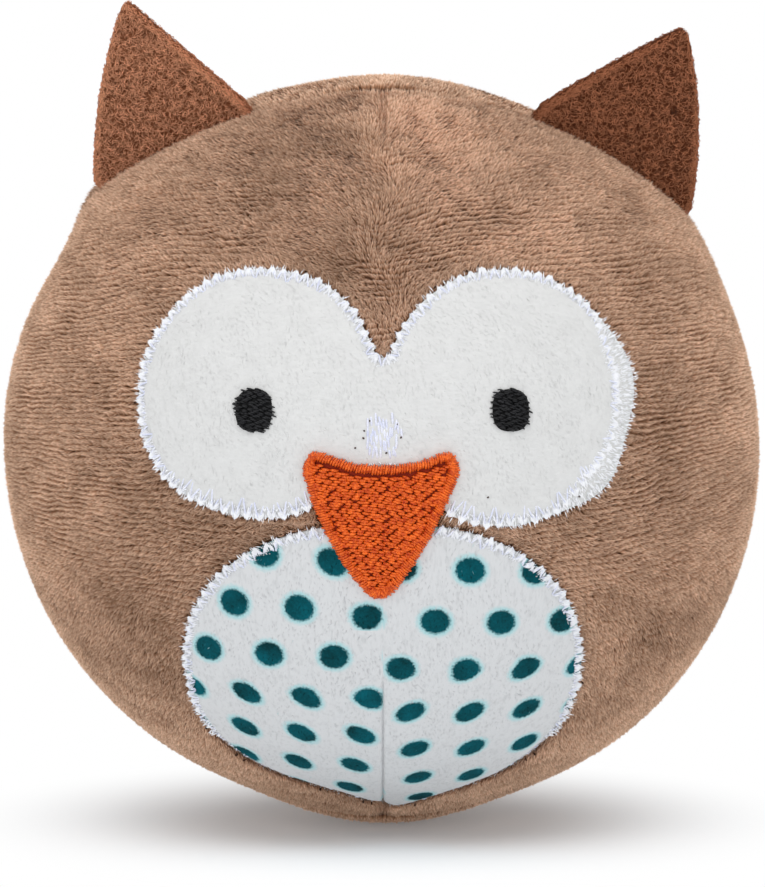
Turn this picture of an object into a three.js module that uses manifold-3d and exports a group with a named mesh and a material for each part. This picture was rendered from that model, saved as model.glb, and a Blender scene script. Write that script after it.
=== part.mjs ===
// A stuffed plush ball with an owl's face and two ears, a squeaking toy for dogs.
// Millimetres, +Z up, face towards -Y, origin under the ball's centre on the surface it rests on.

import * as THREE from 'three';
import { mergeVertices } from 'three/addons/utils/BufferGeometryUtils.js';
import Module from 'manifold-3d';

const wasm = await Module();
wasm.setup();

// Driving dimensions of the ball

const BALL_RADIUS = 50;
const BASE_FLAT_DEPTH = 0.5;
const PLUSH_THICKNESS = 2.6;
const LAYER_GAP = 0.3;
const PUCKER_REACH = 19;
const PUCKER_SPREAD = 12;
const TOP_PUCKER_DEPTH = 0.5;
const BOTTOM_PUCKER_DEPTH = 1.0;

// The side seam waves forwards at the front panel's darts and back at the back panel's darts.

const SEAM_MEAN_ANGLE = 84.5;
const SEAM_SWING_ANGLE = 9;
const SEAM_GAP = 0.3;
const SEAM_VALLEY_DEPTH = 1.4;
const SEAM_VALLEY_WIDTH = 3;
const SHOULDER_SHARES = [0.5, 0.15, 0];
const SEAM_ALLOWANCE = 5;
const ALLOWANCE_THICKNESS = 1.4;
const THREAD_RADIUS = 0.3;
const THREAD_INSET = 0.6;

// Darts: the angle from the face's centre at which each begins, its groove and its folded allowance

const TOP_DART_START = 54;
const BOTTOM_DART_START = 31.5;
const BACK_DART_START = 42;
const DART_GROOVE_DEPTH = 1.3;
const DART_GROOVE_WIDTH = 2.6;
const DART_GROOVE_TIP_SHARE = 0.3;
const DART_FOLD_DEPTH = 4;
const DART_FOLD_THICKNESS = 2.4;

// Face and belly, measured along the cloth from the centre of the face

const MASK_LOBE_RADIUS = 16.3;
const MASK_LOBE_OFFSET = 16.7;
const MASK_HEIGHT = 10.7;
const MASK_UPPER_NOTCH_RADIUS = 1.25;
const MASK_LOWER_NOTCH_RADIUS = 8;
const BRIDGE_HEIGHT = 5.2;
const BRIDGE_HALF_WIDTH = 2.2;
const BRIDGE_HALF_HEIGHT = 2.7;
const PATCH_THICKNESS = 1.7;
const PATCH_RISE = 0.2;
const BELLY_HEIGHT = -30;
const BELLY_HALF_WIDTH = 27.5;
const BELLY_TOP_REACH = 23;
const BELLY_LEFT_DROP = 21.5;
const BELLY_RIGHT_DROP = 26;
const BELLY_ROUNDNESS = 2.2;
const BELLY_STEP_WIDTH = 3;
const STITCH_WIDTH = 1.7;
const STITCH_SINK = 0.9;
const STITCH_RISE = 0.3;
const STITCH_TOP_SHARE = 0.6;
const PUPIL_RADIUS = 2.85;
const PUPIL_OFFSET = 16.1;
const PUPIL_HEIGHT = 8.4;
const BEAK_HALF_WIDTH = 10;
const BEAK_TOP = 3.4;
const BEAK_TOP_SAG = 2;
const BEAK_TIP = -15.2;
const BEAK_CORNER_SHARE = 0.84;
const BEAK_CORNER_RISE = 0.2;
const BEAK_CORNER_DEPTH = 2.6;
const BEAK_SIDE_FULLNESS = [0.8, 0.58];
const BEAK_TIP_HALF_WIDTH = 1.7;
const BEAK_TIP_DEPTH = 0.8;
const BEAK_BORDER_WIDTH = 1.7;
const EMBROIDERY_SINK = 0.1;
const EMBROIDERY_RISE = 0.6;
const BORDER_RISE = 0.9;
const BACKING_MARGIN = 3;
const BACKING_THICKNESS = 0.4;
const BACKING_GAP = 0.4;

// Ears, each given by the angle of its middle clockwise from the top

const LEFT_EAR_ANGLE = -34.5;
const RIGHT_EAR_ANGLE = 39.5;
const EAR_HALF_SPAN = 12;
const EAR_LENGTH = 19.3;
const EAR_TIP_LEAN = 6.8;
const EAR_OUTER_SWELL = 1.8;
const EAR_INNER_SWELL = 1;
const EAR_TIP_SHARE = 0.12;
const EAR_THICKNESS = 1.8;
const EAR_SEAT_HEIGHT = 0.7;
const EAR_BULGE_HEIGHT = 1.3;
const EAR_BULGE_SPREAD = 9;

// Squeaker: a thin blown bulb with a whistle pressed into its back

const BULB_RADIUS = 19;
const BULB_HALF_DEPTH = 11.5;
const BULB_WALL = 0.9;
const BULB_CLEARANCE = 0.7;
const WHISTLE_RADIUS = 3.8;
const WHISTLE_WALL = 0.9;
const WHISTLE_LENGTH = 10;
const WHISTLE_FLANGE_RADIUS = 5.4;
const WHISTLE_FLANGE_THICKNESS = 1;
const REED_WIDTH = 3.4;
const REED_THICKNESS = 0.3;
const REED_LENGTH = 7.6;
const REED_CLAMP_LENGTH = 1.6;
const REED_SLOT_WIDTH = 1.6;
const REED_SLOT_DEPTH = 0.8;

// Facets

const BALL_COLUMNS = 36;
const PANEL_RINGS = 9;
const LINING_RINGS = 7;
const SQUEAKER_ROOM_RINGS = 7;

const DART_STEPS = 6;
const MASK_POINTS = 56;
const BELLY_POINTS = 44;
const BEAK_POINTS = 40;
const OVAL_POINTS = 16;
const EAR_SIDE_STEPS = 9;
const EAR_TIP_STEPS = 4;
const EAR_BASE_STEPS = 10;
const EAR_RIM_DEPTHS = [-1, -0.5, 0.5, 1];
const SEAM_THREAD_SIDES = 5;
const BULB_STEPS = 9;
const BULB_SIDES = 20;
const WHISTLE_SIDES = 24;
const PLUG_STEPS = 12;
const CLAMP_STEPS = 10;

// How far the cutters reach past the surfaces that they cut

const CUTTER_TOP = 4;
const GROOVE_OVERCUT = 1;

const CENTRE_HEIGHT = BALL_RADIUS - BASE_FLAT_DEPTH;
const STUFFING_DEPTH = PLUSH_THICKNESS + LAYER_GAP;
const ALLOWANCE_END = PLUSH_THICKNESS + SEAM_ALLOWANCE;
const THREAD_DEPTH = PLUSH_THICKNESS + THREAD_INSET;
const PATCH_BOTTOM = PATCH_RISE - PATCH_THICKNESS;

const radians = THREE.MathUtils.degToRad;

// Shape of the ball, in polar coordinates: `polar` is the angle from the face's centre and
// `around` runs clockwise from the top, both in radians

function direction(polar, around) {
  const reach = Math.sin(polar);
  return new THREE.Vector3(reach * Math.sin(around), -Math.cos(polar), reach * Math.cos(around));
}

function seamAngle(around) {
  return radians(SEAM_MEAN_ANGLE - SEAM_SWING_ANGLE * Math.cos(2 * around));
}

function pointOnSeam(aroundDegrees) {
  const around = radians(aroundDegrees);
  return direction(seamAngle(around), around);
}

function puckerRing(angleFromPole) {
  const offset = (angleFromPole * BALL_RADIUS - PUCKER_REACH) / PUCKER_SPREAD;
  return Math.exp(-offset * offset);
}

function earBulge(toward, earEnd) {
  const offset = (toward.angleTo(earEnd) * BALL_RADIUS) / EAR_BULGE_SPREAD;
  return EAR_BULGE_HEIGHT * Math.exp(-offset * offset);
}

const TOP = new THREE.Vector3(0, 0, 1);
const BOTTOM = new THREE.Vector3(0, 0, -1);
const LEFT_EAR_END = pointOnSeam(LEFT_EAR_ANGLE - EAR_HALF_SPAN);
const RIGHT_EAR_END = pointOnSeam(RIGHT_EAR_ANGLE + EAR_HALF_SPAN);

// Radius at a height over the pile's surface: a sphere, drawn in round the two places where the
// front darts meet the seam, and pushed out where the ears' stiff cloth is caught in it
function ballRadius(toward, height) {
  const top = TOP_PUCKER_DEPTH * puckerRing(toward.angleTo(TOP));
  const bottom = BOTTOM_PUCKER_DEPTH * puckerRing(toward.angleTo(BOTTOM));
  const ears = earBulge(toward, LEFT_EAR_END) + earBulge(toward, RIGHT_EAR_END);
  const nearSurface = THREE.MathUtils.clamp(1 + height / PLUSH_THICKNESS, 0, 1);
  return BALL_RADIUS + height - top - bottom + ears * nearSurface;
}

function onBall(polar, around, height) {
  const toward = direction(polar, around);
  return toward.multiplyScalar(ballRadius(toward, height));
}

// How far the bottom dart draws the cloth in at a place on the front panel
function bellyDartDip(across, up) {
  const start = radians(BOTTOM_DART_START) * BALL_RADIUS;
  const share = (-up - start) / (seamAngle(Math.PI) * BALL_RADIUS - start);
  const nearness = 1 - Math.abs(across) / (DART_GROOVE_WIDTH / 2);
  return share > 0 && nearness > 0 ? DART_GROOVE_DEPTH * share * nearness : 0;
}

// A point of the front panel by its place on the flat cloth, measured from the face's centre
function onCloth(across, up, height) {
  const polar = Math.hypot(across, up) / BALL_RADIUS;
  return onBall(polar, Math.atan2(across, up), height - bellyDartDip(across, up));
}

// Closed solids from rows of points

function solidFromPoints(points, faces) {
  const positions = points.flatMap((point) => point.toArray());
  const geometry = new THREE.BufferGeometry();
  geometry.setAttribute('position', new THREE.Float32BufferAttribute(positions, 3));
  geometry.setIndex(faces);
  return volumeOf(points, faces) < 0 ? turnedInsideOut(geometry) : geometry;
}

function volumeOf(points, faces) {
  let volume = 0;
  for (let i = 0; i < faces.length; i += 3) {
    const [a, b, c] = [points[faces[i]], points[faces[i + 1]], points[faces[i + 2]]];
    volume += a.dot(new THREE.Vector3().crossVectors(b, c)) / 6;
  }
  return volume;
}

function turnedInsideOut(geometry) {
  geometry.setIndex([...geometry.index.array].reverse());
  return geometry;
}

// Rings of equal count, stacked from one end point to the other
function solidFromRings(start, rings, end) {
  const count = rings[0].length;
  const points = [start, ...rings.flat(), end];
  const faces = [];
  for (let i = 0; i < count; i++) {
    const next = (i + 1) % count;
    faces.push(0, 1 + i, 1 + next);
    for (let ring = 0; ring < rings.length - 1; ring++) {
      const [a, b] = [1 + ring * count, 1 + (ring + 1) * count];
      faces.push(a + i, b + i, a + next, a + next, b + i, b + next);
    }
    const last = 1 + (rings.length - 1) * count;
    faces.push(last + i, points.length - 1, last + next);
  }
  return solidFromPoints(points, faces);
}

// Sections of equal count, joined round a closed loop
function solidFromLoop(sections) {
  const count = sections[0].length;
  const faces = [];
  for (let s = 0; s < sections.length; s++) {
    const [a, b] = [s * count, ((s + 1) % sections.length) * count];
    for (let i = 0; i < count; i++) {
      const next = (i + 1) % count;
      faces.push(a + i, b + i, a + next, a + next, b + i, b + next);
    }
  }
  return solidFromPoints(sections.flat(), faces);
}

function ringOf(count, pointAt) {
  return Array.from({ length: count }, (_, i) => pointAt((2 * Math.PI * i) / count));
}

// Booleans

function toManifold(geometry) {
  const bare = geometry.clone();
  bare.deleteAttribute('normal');
  bare.deleteAttribute('uv');
  const merged = mergeVertices(bare, 1e-5);
  const corners = [];
  for (let i = 0; i < merged.index.count; i += 3) {
    const [a, b, c] = [0, 1, 2].map((k) => merged.index.getX(i + k));
    if (a !== b && b !== c && c !== a) corners.push(a, b, c);
  }
  return new wasm.Manifold(new wasm.Mesh({
    numProp: 3,
    vertProperties: new Float32Array(merged.attributes.position.array),
    triVerts: new Uint32Array(corners),
  }));
}

function toGeometry(manifold) {
  const mesh = manifold.getMesh();
  const geometry = new THREE.BufferGeometry();
  geometry.setAttribute('position', new THREE.BufferAttribute(mesh.vertProperties, mesh.numProp));
  geometry.setIndex(new THREE.BufferAttribute(mesh.triVerts, 1));
  return geometry;
}

function joined(geometry, additions) {
  return toGeometry(additions.reduce((solid, other) => solid.add(toManifold(other)), toManifold(geometry)));
}

function cutBy(geometry, cutters) {
  return toGeometry(cutters.reduce((solid, other) => solid.subtract(toManifold(other)), toManifold(geometry)));
}

// Halves of the ball: `front` is measured from the face, `back` from the opposite side

const FRONT = { polar: (angle) => angle, edge: (around) => seamAngle(around) };
const BACK = { polar: (angle) => Math.PI - angle, edge: (around) => Math.PI - seamAngle(around) };

// A point beside the seam: `distance` is measured along the cloth from the seam's middle
function besideSeam(half, around, distance, height) {
  const angle = half.edge(around) - distance / (BALL_RADIUS + height);
  return onBall(half.polar(angle), around, height);
}

function besideSeamRing(half, distance, height) {
  return ringOf(BALL_COLUMNS, (around) => besideSeam(half, around, distance, height));
}

// Rings over the dome of a half, from the pole to `distance` short of the seam
function domeRings(half, count, distance, height) {
  const rings = [];
  for (let k = 1; k <= count; k++) {
    rings.push(ringOf(BALL_COLUMNS, (around) => {
      const edge = half.edge(around) - distance / (BALL_RADIUS + height);
      return onBall(half.polar((edge * k) / count), around, height);
    }));
  }
  return rings;
}

// The seam's shoulder is a quarter of an ellipse from the pile's surface down into the valley.
function shoulderRings(half) {
  return SHOULDER_SHARES.map((share) => {
    const drop = 1 - Math.sqrt(1 - (1 - share) ** 2);
    const distance = Math.max(share * SEAM_VALLEY_WIDTH, SEAM_GAP / 2);
    return besideSeamRing(half, distance, -SEAM_VALLEY_DEPTH * drop);
  });
}

// The turned-in allowance, with a channel along it for the seam's thread
function allowanceRings(half) {
  const channel = THREAD_RADIUS + LAYER_GAP;
  const face = SEAM_GAP / 2;
  const inside = face + ALLOWANCE_THICKNESS;
  const stations = [
    [face, -THREAD_DEPTH + channel],
    [channel, -THREAD_DEPTH + channel / 2],
    [channel, -THREAD_DEPTH - channel / 2],
    [face, -THREAD_DEPTH - channel],
    [face, -ALLOWANCE_END],
    [inside, -ALLOWANCE_END],
  ];
  return stations.map(([distance, height]) => besideSeamRing(half, distance, height));
}

function panelShell(half) {
  const inside = SEAM_GAP / 2 + ALLOWANCE_THICKNESS;
  const outer = domeRings(half, PANEL_RINGS, SEAM_VALLEY_WIDTH, 0);
  const lining = domeRings(half, LINING_RINGS, inside, -PLUSH_THICKNESS).reverse();
  return solidFromRings(
    onBall(half.polar(0), 0, 0),
    [...outer, ...shoulderRings(half), ...allowanceRings(half), ...lining],
    onBall(half.polar(0), 0, -PLUSH_THICKNESS),
  );
}

// Darts run along one meridian of a half, from their start out to the seam.
// `section` gives the corners of the cross-section as [sideways, height] for a share 0 to 1.
function alongDart(half, aroundDegrees, startDegrees, endGap, section) {
  const around = radians(aroundDegrees);
  const start = radians(startDegrees);
  const end = half.edge(around) - endGap / BALL_RADIUS;
  const corner = (share, sideways, height) => {
    const angle = start + (end - start) * share;
    const turn = sideways / ((BALL_RADIUS + height) * Math.sin(angle));
    return onBall(half.polar(angle), around + turn, height);
  };
  const rings = [];
  for (let k = 1; k <= DART_STEPS; k++) {
    const share = k / DART_STEPS;
    rings.push(section(share).map(([sideways, height]) => corner(share, sideways, height)));
  }
  const middle = section(1).reduce((sum, [, height]) => sum + height, 0) / section(1).length;
  return solidFromRings(corner(0, 0, section(0)[0][1]), rings, corner(1, 0, middle));
}

// The V that the dart's stitching pulls into the pile
function dartGroove(half, around, start) {
  const overshoot = -SEAM_VALLEY_WIDTH;
  return alongDart(half, around, start, overshoot, (share) => {
    const side = (DART_GROOVE_WIDTH / 2) * THREE.MathUtils.lerp(DART_GROOVE_TIP_SHARE, 1, share);
    const above = PATCH_RISE + GROOVE_OVERCUT;
    const flare = side * (1 + above / DART_GROOVE_DEPTH);
    return [[-flare, above], [0, -DART_GROOVE_DEPTH * share], [flare, above]];
  });
}

// The folded cloth of the dart on the inside, widest at the seam; `growth` adds clearance to it
function dartFold(half, around, start, growth) {
  const endGap = SEAM_GAP / 2 + ALLOWANCE_THICKNESS - LAYER_GAP - growth;
  const tip = start - THREE.MathUtils.radToDeg((3 * growth) / BALL_RADIUS);
  return alongDart(half, around, tip, endGap, (share) => {
    const side = DART_FOLD_THICKNESS / 2 + growth;
    const root = LAYER_GAP - PLUSH_THICKNESS + growth;
    const depth = PLUSH_THICKNESS + growth + DART_FOLD_DEPTH * share;
    return [[-side, root], [-side, -depth], [side, -depth], [side, root]];
  });
}

const FRONT_DARTS = [[0, TOP_DART_START], [180, BOTTOM_DART_START]];
const BACK_DARTS = [[90, BACK_DART_START], [270, BACK_DART_START]];

function panel(half, darts) {
  const folds = darts.map(([around, start]) => dartFold(half, around, start, 0));
  const grooves = darts.map(([around, start]) => dartGroove(half, around, start));
  return cutBy(joined(panelShell(half), folds), grooves);
}

// Outlines on the flat cloth, as lists of points

function outlinePoints(path, count) {
  return path.getSpacedPoints(count).slice(0, count);
}

// Two overlapping discs with both notches rounded, drawn anticlockwise from the lower notch
function maskOutline(grow) {
  const lobe = MASK_LOBE_RADIUS;
  const notchAt = (radius) => {
    const rise = Math.sqrt((lobe + radius) ** 2 - MASK_LOBE_OFFSET ** 2);
    return { radius, rise, slope: Math.atan2(rise, MASK_LOBE_OFFSET) };
  };
  const upper = notchAt(MASK_UPPER_NOTCH_RADIUS);
  const lower = notchAt(MASK_LOWER_NOTCH_RADIUS);
  const path = new THREE.Path();
  path.absarc(0, MASK_HEIGHT - lower.rise, lower.radius, Math.PI / 2, lower.slope, true);
  path.absarc(MASK_LOBE_OFFSET, MASK_HEIGHT, lobe, Math.PI + lower.slope, 3 * Math.PI - upper.slope, false);
  path.absarc(0, MASK_HEIGHT + upper.rise, upper.radius, -upper.slope, upper.slope - Math.PI, true);
  path.absarc(-MASK_LOBE_OFFSET, MASK_HEIGHT, lobe, upper.slope, 2 * Math.PI - lower.slope, false);
  path.absarc(0, MASK_HEIGHT - lower.rise, lower.radius, Math.PI - lower.slope, Math.PI / 2, true);
  return offsetOutline(outlinePoints(path, MASK_POINTS), grow);
}

// A flattened oval whose lower edge steps down on the right of the dart
function bellyOutline(grow) {
  const points = ringOf(BELLY_POINTS, (angle) => {
    const [c, s] = [Math.cos(angle), Math.sin(angle)];
    const rightShare = 0.5 + 0.5 * Math.tanh((BELLY_HALF_WIDTH * c) / BELLY_STEP_WIDTH);
    const drop = THREE.MathUtils.lerp(BELLY_LEFT_DROP, BELLY_RIGHT_DROP, rightShare);
    const reach = s > 0 ? BELLY_TOP_REACH : drop;
    const across = Math.abs(c / BELLY_HALF_WIDTH) ** BELLY_ROUNDNESS;
    const along = Math.abs(s / reach) ** BELLY_ROUNDNESS;
    const radius = (across + along) ** (-1 / BELLY_ROUNDNESS);
    return new THREE.Vector2(radius * c, BELLY_HEIGHT + radius * s);
  });
  return offsetOutline(points, grow);
}

// A rounded triangle, point down, with a hollow top edge and full sides
function beakOutline(grow) {
  const corner = BEAK_HALF_WIDTH * BEAK_CORNER_SHARE;
  const shoulder = BEAK_TOP - BEAK_CORNER_DEPTH;
  const sideX = BEAK_HALF_WIDTH * BEAK_SIDE_FULLNESS[0];
  const sideY = BEAK_TIP * BEAK_SIDE_FULLNESS[1];
  const tipX = BEAK_TIP_HALF_WIDTH;
  const tipY = BEAK_TIP + BEAK_TIP_DEPTH;
  const path = new THREE.Path();
  path.moveTo(-corner, BEAK_TOP);
  path.quadraticCurveTo(-BEAK_HALF_WIDTH, BEAK_TOP + BEAK_CORNER_RISE, -BEAK_HALF_WIDTH, shoulder);
  path.quadraticCurveTo(-sideX, sideY, -tipX, tipY);
  path.quadraticCurveTo(0, BEAK_TIP - BEAK_TIP_DEPTH, tipX, tipY);
  path.quadraticCurveTo(sideX, sideY, BEAK_HALF_WIDTH, shoulder);
  path.quadraticCurveTo(BEAK_HALF_WIDTH, BEAK_TOP + BEAK_CORNER_RISE, corner, BEAK_TOP);
  path.quadraticCurveTo(0, BEAK_TOP - 2 * BEAK_TOP_SAG, -corner, BEAK_TOP);
  return offsetOutline(outlinePoints(path, BEAK_POINTS), grow);
}

function ovalOutline(centre, halfWidth, halfHeight) {
  return ringOf(OVAL_POINTS, (angle) => new THREE.Vector2(
    centre.x + halfWidth * Math.cos(angle),
    centre.y + halfHeight * Math.sin(angle),
  ));
}

// Moves each point of an anticlockwise outline outwards, square to its neighbours' chord
function offsetOutline(points, distance) {
  const count = points.length;
  return points.map((point, i) => {
    const before = points[(i + count - 1) % count];
    const after = points[(i + 1) % count];
    const chord = after.clone().sub(before).normalize();
    return new THREE.Vector2(point.x + distance * chord.y, point.y - distance * chord.x);
  });
}

// A sheet sewn on to the cloth: top and bottom both follow the ball
function sheet(outline, centre, shares, bottom, top) {
  const ring = (share, height) => outline.map((point) => {
    const spot = centre.clone().lerp(point, share);
    return onCloth(spot.x, spot.y, height);
  });
  const upper = shares.map((share) => ring(share, top));
  const lower = shares.map((share) => ring(share, bottom)).reverse();
  return solidFromRings(
    onCloth(centre.x, centre.y, top),
    [...upper, ...lower],
    onCloth(centre.x, centre.y, bottom),
  );
}

// A band of stitches that runs along an outline, half on each side of it, and pressed flat
// where the beak lies over it
function stitchBand(outline, width, bottom, top) {
  const half = width / 2;
  const level = STITCH_TOP_SHARE * half;
  const stations = [[half, bottom], [level, top], [-level, top], [-half, bottom]];
  const lines = stations.map(([distance]) => offsetOutline(outline, distance));
  return solidFromLoop(outline.map((_, i) => (
    stations.map(([, height], k) => {
      const spot = lines[k][i];
      return onCloth(spot.x, spot.y, height);
    })
  )));
}

const MASK_CENTRE = new THREE.Vector2(0, MASK_HEIGHT);
const BELLY_CENTRE = new THREE.Vector2(0, BELLY_HEIGHT);
const BEAK_CENTRE = new THREE.Vector2(0, BEAK_TIP / 3);
const SHEET_INSET = STITCH_WIDTH / 2 + LAYER_GAP;
const WIDE_SHARES = [0.3, 0.55, 0.78, 1];
const SMALL_SHARES = [0.5, 1];

// Each function gives the piece itself with no clearance, or the room it needs with some.

function maskSheet(clearance) {
  const top = clearance > 0 ? CUTTER_TOP : PATCH_RISE;
  const outline = maskOutline(clearance - SHEET_INSET);
  return sheet(outline, MASK_CENTRE, WIDE_SHARES, PATCH_BOTTOM - clearance, top);
}

function bellySheet(clearance) {
  const top = clearance > 0 ? CUTTER_TOP : PATCH_RISE;
  const outline = bellyOutline(clearance - SHEET_INSET);
  return sheet(outline, BELLY_CENTRE, WIDE_SHARES, PATCH_BOTTOM - clearance, top);
}

function stitches(outline) {
  return cutBy(stitchBand(outline, STITCH_WIDTH, -STITCH_SINK, STITCH_RISE), [beakRoom()]);
}

function stitchRoom(outline, centre) {
  return sheet(outline, centre, WIDE_SHARES, -STITCH_SINK - LAYER_GAP, CUTTER_TOP);
}

function beakRoom() {
  return sheet(beakOutline(LAYER_GAP), BEAK_CENTRE, SMALL_SHARES, -EMBROIDERY_SINK - LAYER_GAP, CUTTER_TOP);
}

function ovalPad(across, up, halfWidth, halfHeight, clearance) {
  const centre = new THREE.Vector2(across, up);
  const outline = ovalOutline(centre, halfWidth + clearance, halfHeight + clearance);
  const top = clearance > 0 ? CUTTER_TOP : EMBROIDERY_RISE;
  return sheet(outline, centre, SMALL_SHARES, -EMBROIDERY_SINK - clearance, top);
}

function pupilPad(side, clearance) {
  return ovalPad(side * PUPIL_OFFSET, PUPIL_HEIGHT, PUPIL_RADIUS, PUPIL_RADIUS, clearance);
}

// The short patch of stitches between the mask's lobes, just over the beak
function bridgePad(clearance) {
  return ovalPad(0, BRIDGE_HEIGHT, BRIDGE_HALF_WIDTH, BRIDGE_HALF_HEIGHT, clearance);
}

function faceMask() {
  const embroidery = [pupilPad(-1, LAYER_GAP), pupilPad(1, LAYER_GAP), bridgePad(LAYER_GAP)];
  return cutBy(maskSheet(0), [beakRoom(), ...embroidery]);
}

function bellyPatch() {
  return cutBy(bellySheet(0), [beakRoom()]);
}

function beakBorder() {
  const middle = offsetOutline(beakOutline(0), -BEAK_BORDER_WIDTH / 2);
  return stitchBand(middle, BEAK_BORDER_WIDTH, -EMBROIDERY_SINK, BORDER_RISE);
}

function beakFill() {
  const outline = beakOutline(-BEAK_BORDER_WIDTH - LAYER_GAP);
  return sheet(outline, BEAK_CENTRE, SMALL_SHARES, -EMBROIDERY_SINK, EMBROIDERY_RISE);
}

function embroideryBacking(clearance) {
  const face = -PLUSH_THICKNESS - BACKING_GAP;
  const top = clearance > 0 ? 0 : face;
  const bottom = face - BACKING_THICKNESS;
  return sheet(beakOutline(BACKING_MARGIN + clearance), BEAK_CENTRE, SMALL_SHARES, bottom - clearance, top);
}

// The pile is pressed down under the sewn sheets, a little less under their edge stitches.
function frontPanel() {
  const stitchReach = STITCH_WIDTH / 2 + LAYER_GAP;
  return cutBy(panel(FRONT, FRONT_DARTS), [
    maskSheet(LAYER_GAP),
    bellySheet(LAYER_GAP),
    stitchRoom(maskOutline(stitchReach), MASK_CENTRE),
    stitchRoom(bellyOutline(stitchReach), BELLY_CENTRE),
    beakRoom(),
  ]);
}

// The back panel carries the small flat that the ball rests on.
function backPanel() {
  const floor = new THREE.BoxGeometry(2 * BALL_RADIUS, 2 * BALL_RADIUS, BALL_RADIUS);
  floor.translate(0, 0, -CENTRE_HEIGHT - BALL_RADIUS / 2);
  return cutBy(panel(BACK, BACK_DARTS), [floor]);
}

// Seam thread: a round cord of stitches between the two turned-in allowances
function seamThread() {
  const sections = ringOf(BALL_COLUMNS, (around) => ringOf(SEAM_THREAD_SIDES, (angle) => besideSeam(
    FRONT, around, THREAD_RADIUS * Math.sin(angle), -THREAD_DEPTH + THREAD_RADIUS * Math.cos(angle),
  )));
  return solidFromLoop(sections);
}

// Ears

// One ear in its own plane: x runs along the seam from the ear's inner end, y outwards.
// Both bowed sides aim at the tip, and the last share of each is rounded off.
function earOutline(base) {
  const inner = base[0];
  const outer = base[base.length - 1];
  const middle = inner.clone().lerp(outer, 0.5);
  const tip = new THREE.Vector2(middle.x - EAR_TIP_LEAN, middle.y + EAR_LENGTH);
  const outerSide = bowed(outer, tip, EAR_OUTER_SWELL);
  const innerSide = bowed(tip, inner, EAR_INNER_SWELL);
  const from = outerSide.getPoint(1 - EAR_TIP_SHARE);
  const to = innerSide.getPoint(EAR_TIP_SHARE);
  const round = new THREE.QuadraticBezierCurve(from, tip, to);
  return [
    ...pointsAlong(outerSide, 0, 1 - EAR_TIP_SHARE, EAR_SIDE_STEPS),
    ...pointsAlong(round, 0, 1, EAR_TIP_STEPS),
    ...pointsAlong(innerSide, EAR_TIP_SHARE, 1, EAR_SIDE_STEPS),
    ...base.slice(0, -1),
  ];
}

// Points of a curve from one share of it up to, but without, another
function pointsAlong(curve, first, last, steps) {
  return Array.from({ length: steps }, (_, i) => curve.getPoint(first + ((last - first) * i) / steps));
}

// A side that bows outwards by `swell`, to the right of its direction
function bowed(from, to, swell) {
  const side = to.clone().sub(from).normalize();
  const middle = from.clone().lerp(to, 0.5);
  const bend = new THREE.Vector2(middle.x + 2 * swell * side.y, middle.y - 2 * swell * side.x);
  return new THREE.QuadraticBezierCurve(from, bend, to);
}

function earFrame(middleDegrees, side) {
  const inner = pointOnSeam(middleDegrees - side * EAR_HALF_SPAN);
  const outer = pointOnSeam(middleDegrees + side * EAR_HALF_SPAN);
  const out = inner.clone().add(outer).normalize();
  const along = outer.clone().sub(inner).normalize();
  return { inner, outer, out, along, normal: new THREE.Vector3().crossVectors(along, out) };
}

// The base follows the ball; the rim is round, so that the ear can tip in the seam's valley.
function ear(middleDegrees, side) {
  const frame = earFrame(middleDegrees, side);
  const base = Array.from({ length: EAR_BASE_STEPS + 1 }, (_, i) => {
    const toward = frame.inner.clone().lerp(frame.outer, i / EAR_BASE_STEPS).normalize();
    const spot = toward.clone().multiplyScalar(ballRadius(toward, EAR_SEAT_HEIGHT));
    return new THREE.Vector2(spot.dot(frame.along), spot.dot(frame.out));
  });
  const outline = earOutline(base);
  const centre = new THREE.Vector2(-EAR_TIP_LEAN / 3, base[0].y + EAR_LENGTH / 3);
  const half = EAR_THICKNESS / 2;
  const place = (spot, depth) => new THREE.Vector3()
    .addScaledVector(frame.along, spot.x)
    .addScaledVector(frame.out, spot.y)
    .addScaledVector(frame.normal, depth);
  const rims = EAR_RIM_DEPTHS.map((depth) => {
    const swell = half * Math.sqrt(1 - depth * depth);
    return offsetOutline(outline, swell).map((point) => place(point, half * depth));
  });
  const face = (depth) => outline.map((point) => place(centre.clone().lerp(point, 0.5), depth));
  return solidFromRings(place(centre, -half), [face(-half), ...rims, face(half)], place(centre, half));
}

// Stuffing: two handfuls of fibre that meet at the seam and close round the squeaker

function squeakerRoomRadius(angle) {
  const across = Math.sin(angle) / (BULB_RADIUS + BULB_CLEARANCE);
  const along = Math.cos(angle) / (BULB_HALF_DEPTH + BULB_CLEARANCE);
  return 1 / Math.hypot(across, along);
}

function stuffingHalf(half, darts) {
  const clear = SEAM_GAP / 2 + ALLOWANCE_THICKNESS + LAYER_GAP;
  const end = ALLOWANCE_END + LAYER_GAP;
  const room = (share) => ringOf(BALL_COLUMNS, (around) => {
    const edge = half.edge(around) - SEAM_GAP / (2 * BULB_RADIUS);
    const polar = half.polar(edge * share);
    return direction(polar, around).multiplyScalar(squeakerRoomRadius(polar));
  });
  const shares = Array.from({ length: SQUEAKER_ROOM_RINGS }, (_, k) => 1 - k / SQUEAKER_ROOM_RINGS);
  const pole = direction(half.polar(0), 0);
  const solid = solidFromRings(
    onBall(half.polar(0), 0, -STUFFING_DEPTH),
    [
      ...domeRings(half, LINING_RINGS, clear, -STUFFING_DEPTH),
      besideSeamRing(half, clear, -end),
      besideSeamRing(half, SEAM_GAP / 2, -end),
      ...shares.map(room),
    ],
    pole.multiplyScalar(squeakerRoomRadius(half.polar(0))),
  );
  return cutBy(solid, darts.map(([around, start]) => dartFold(half, around, start, LAYER_GAP)));
}

function frontStuffing() {
  return cutBy(stuffingHalf(FRONT, FRONT_DARTS), [embroideryBacking(LAYER_GAP)]);
}

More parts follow.
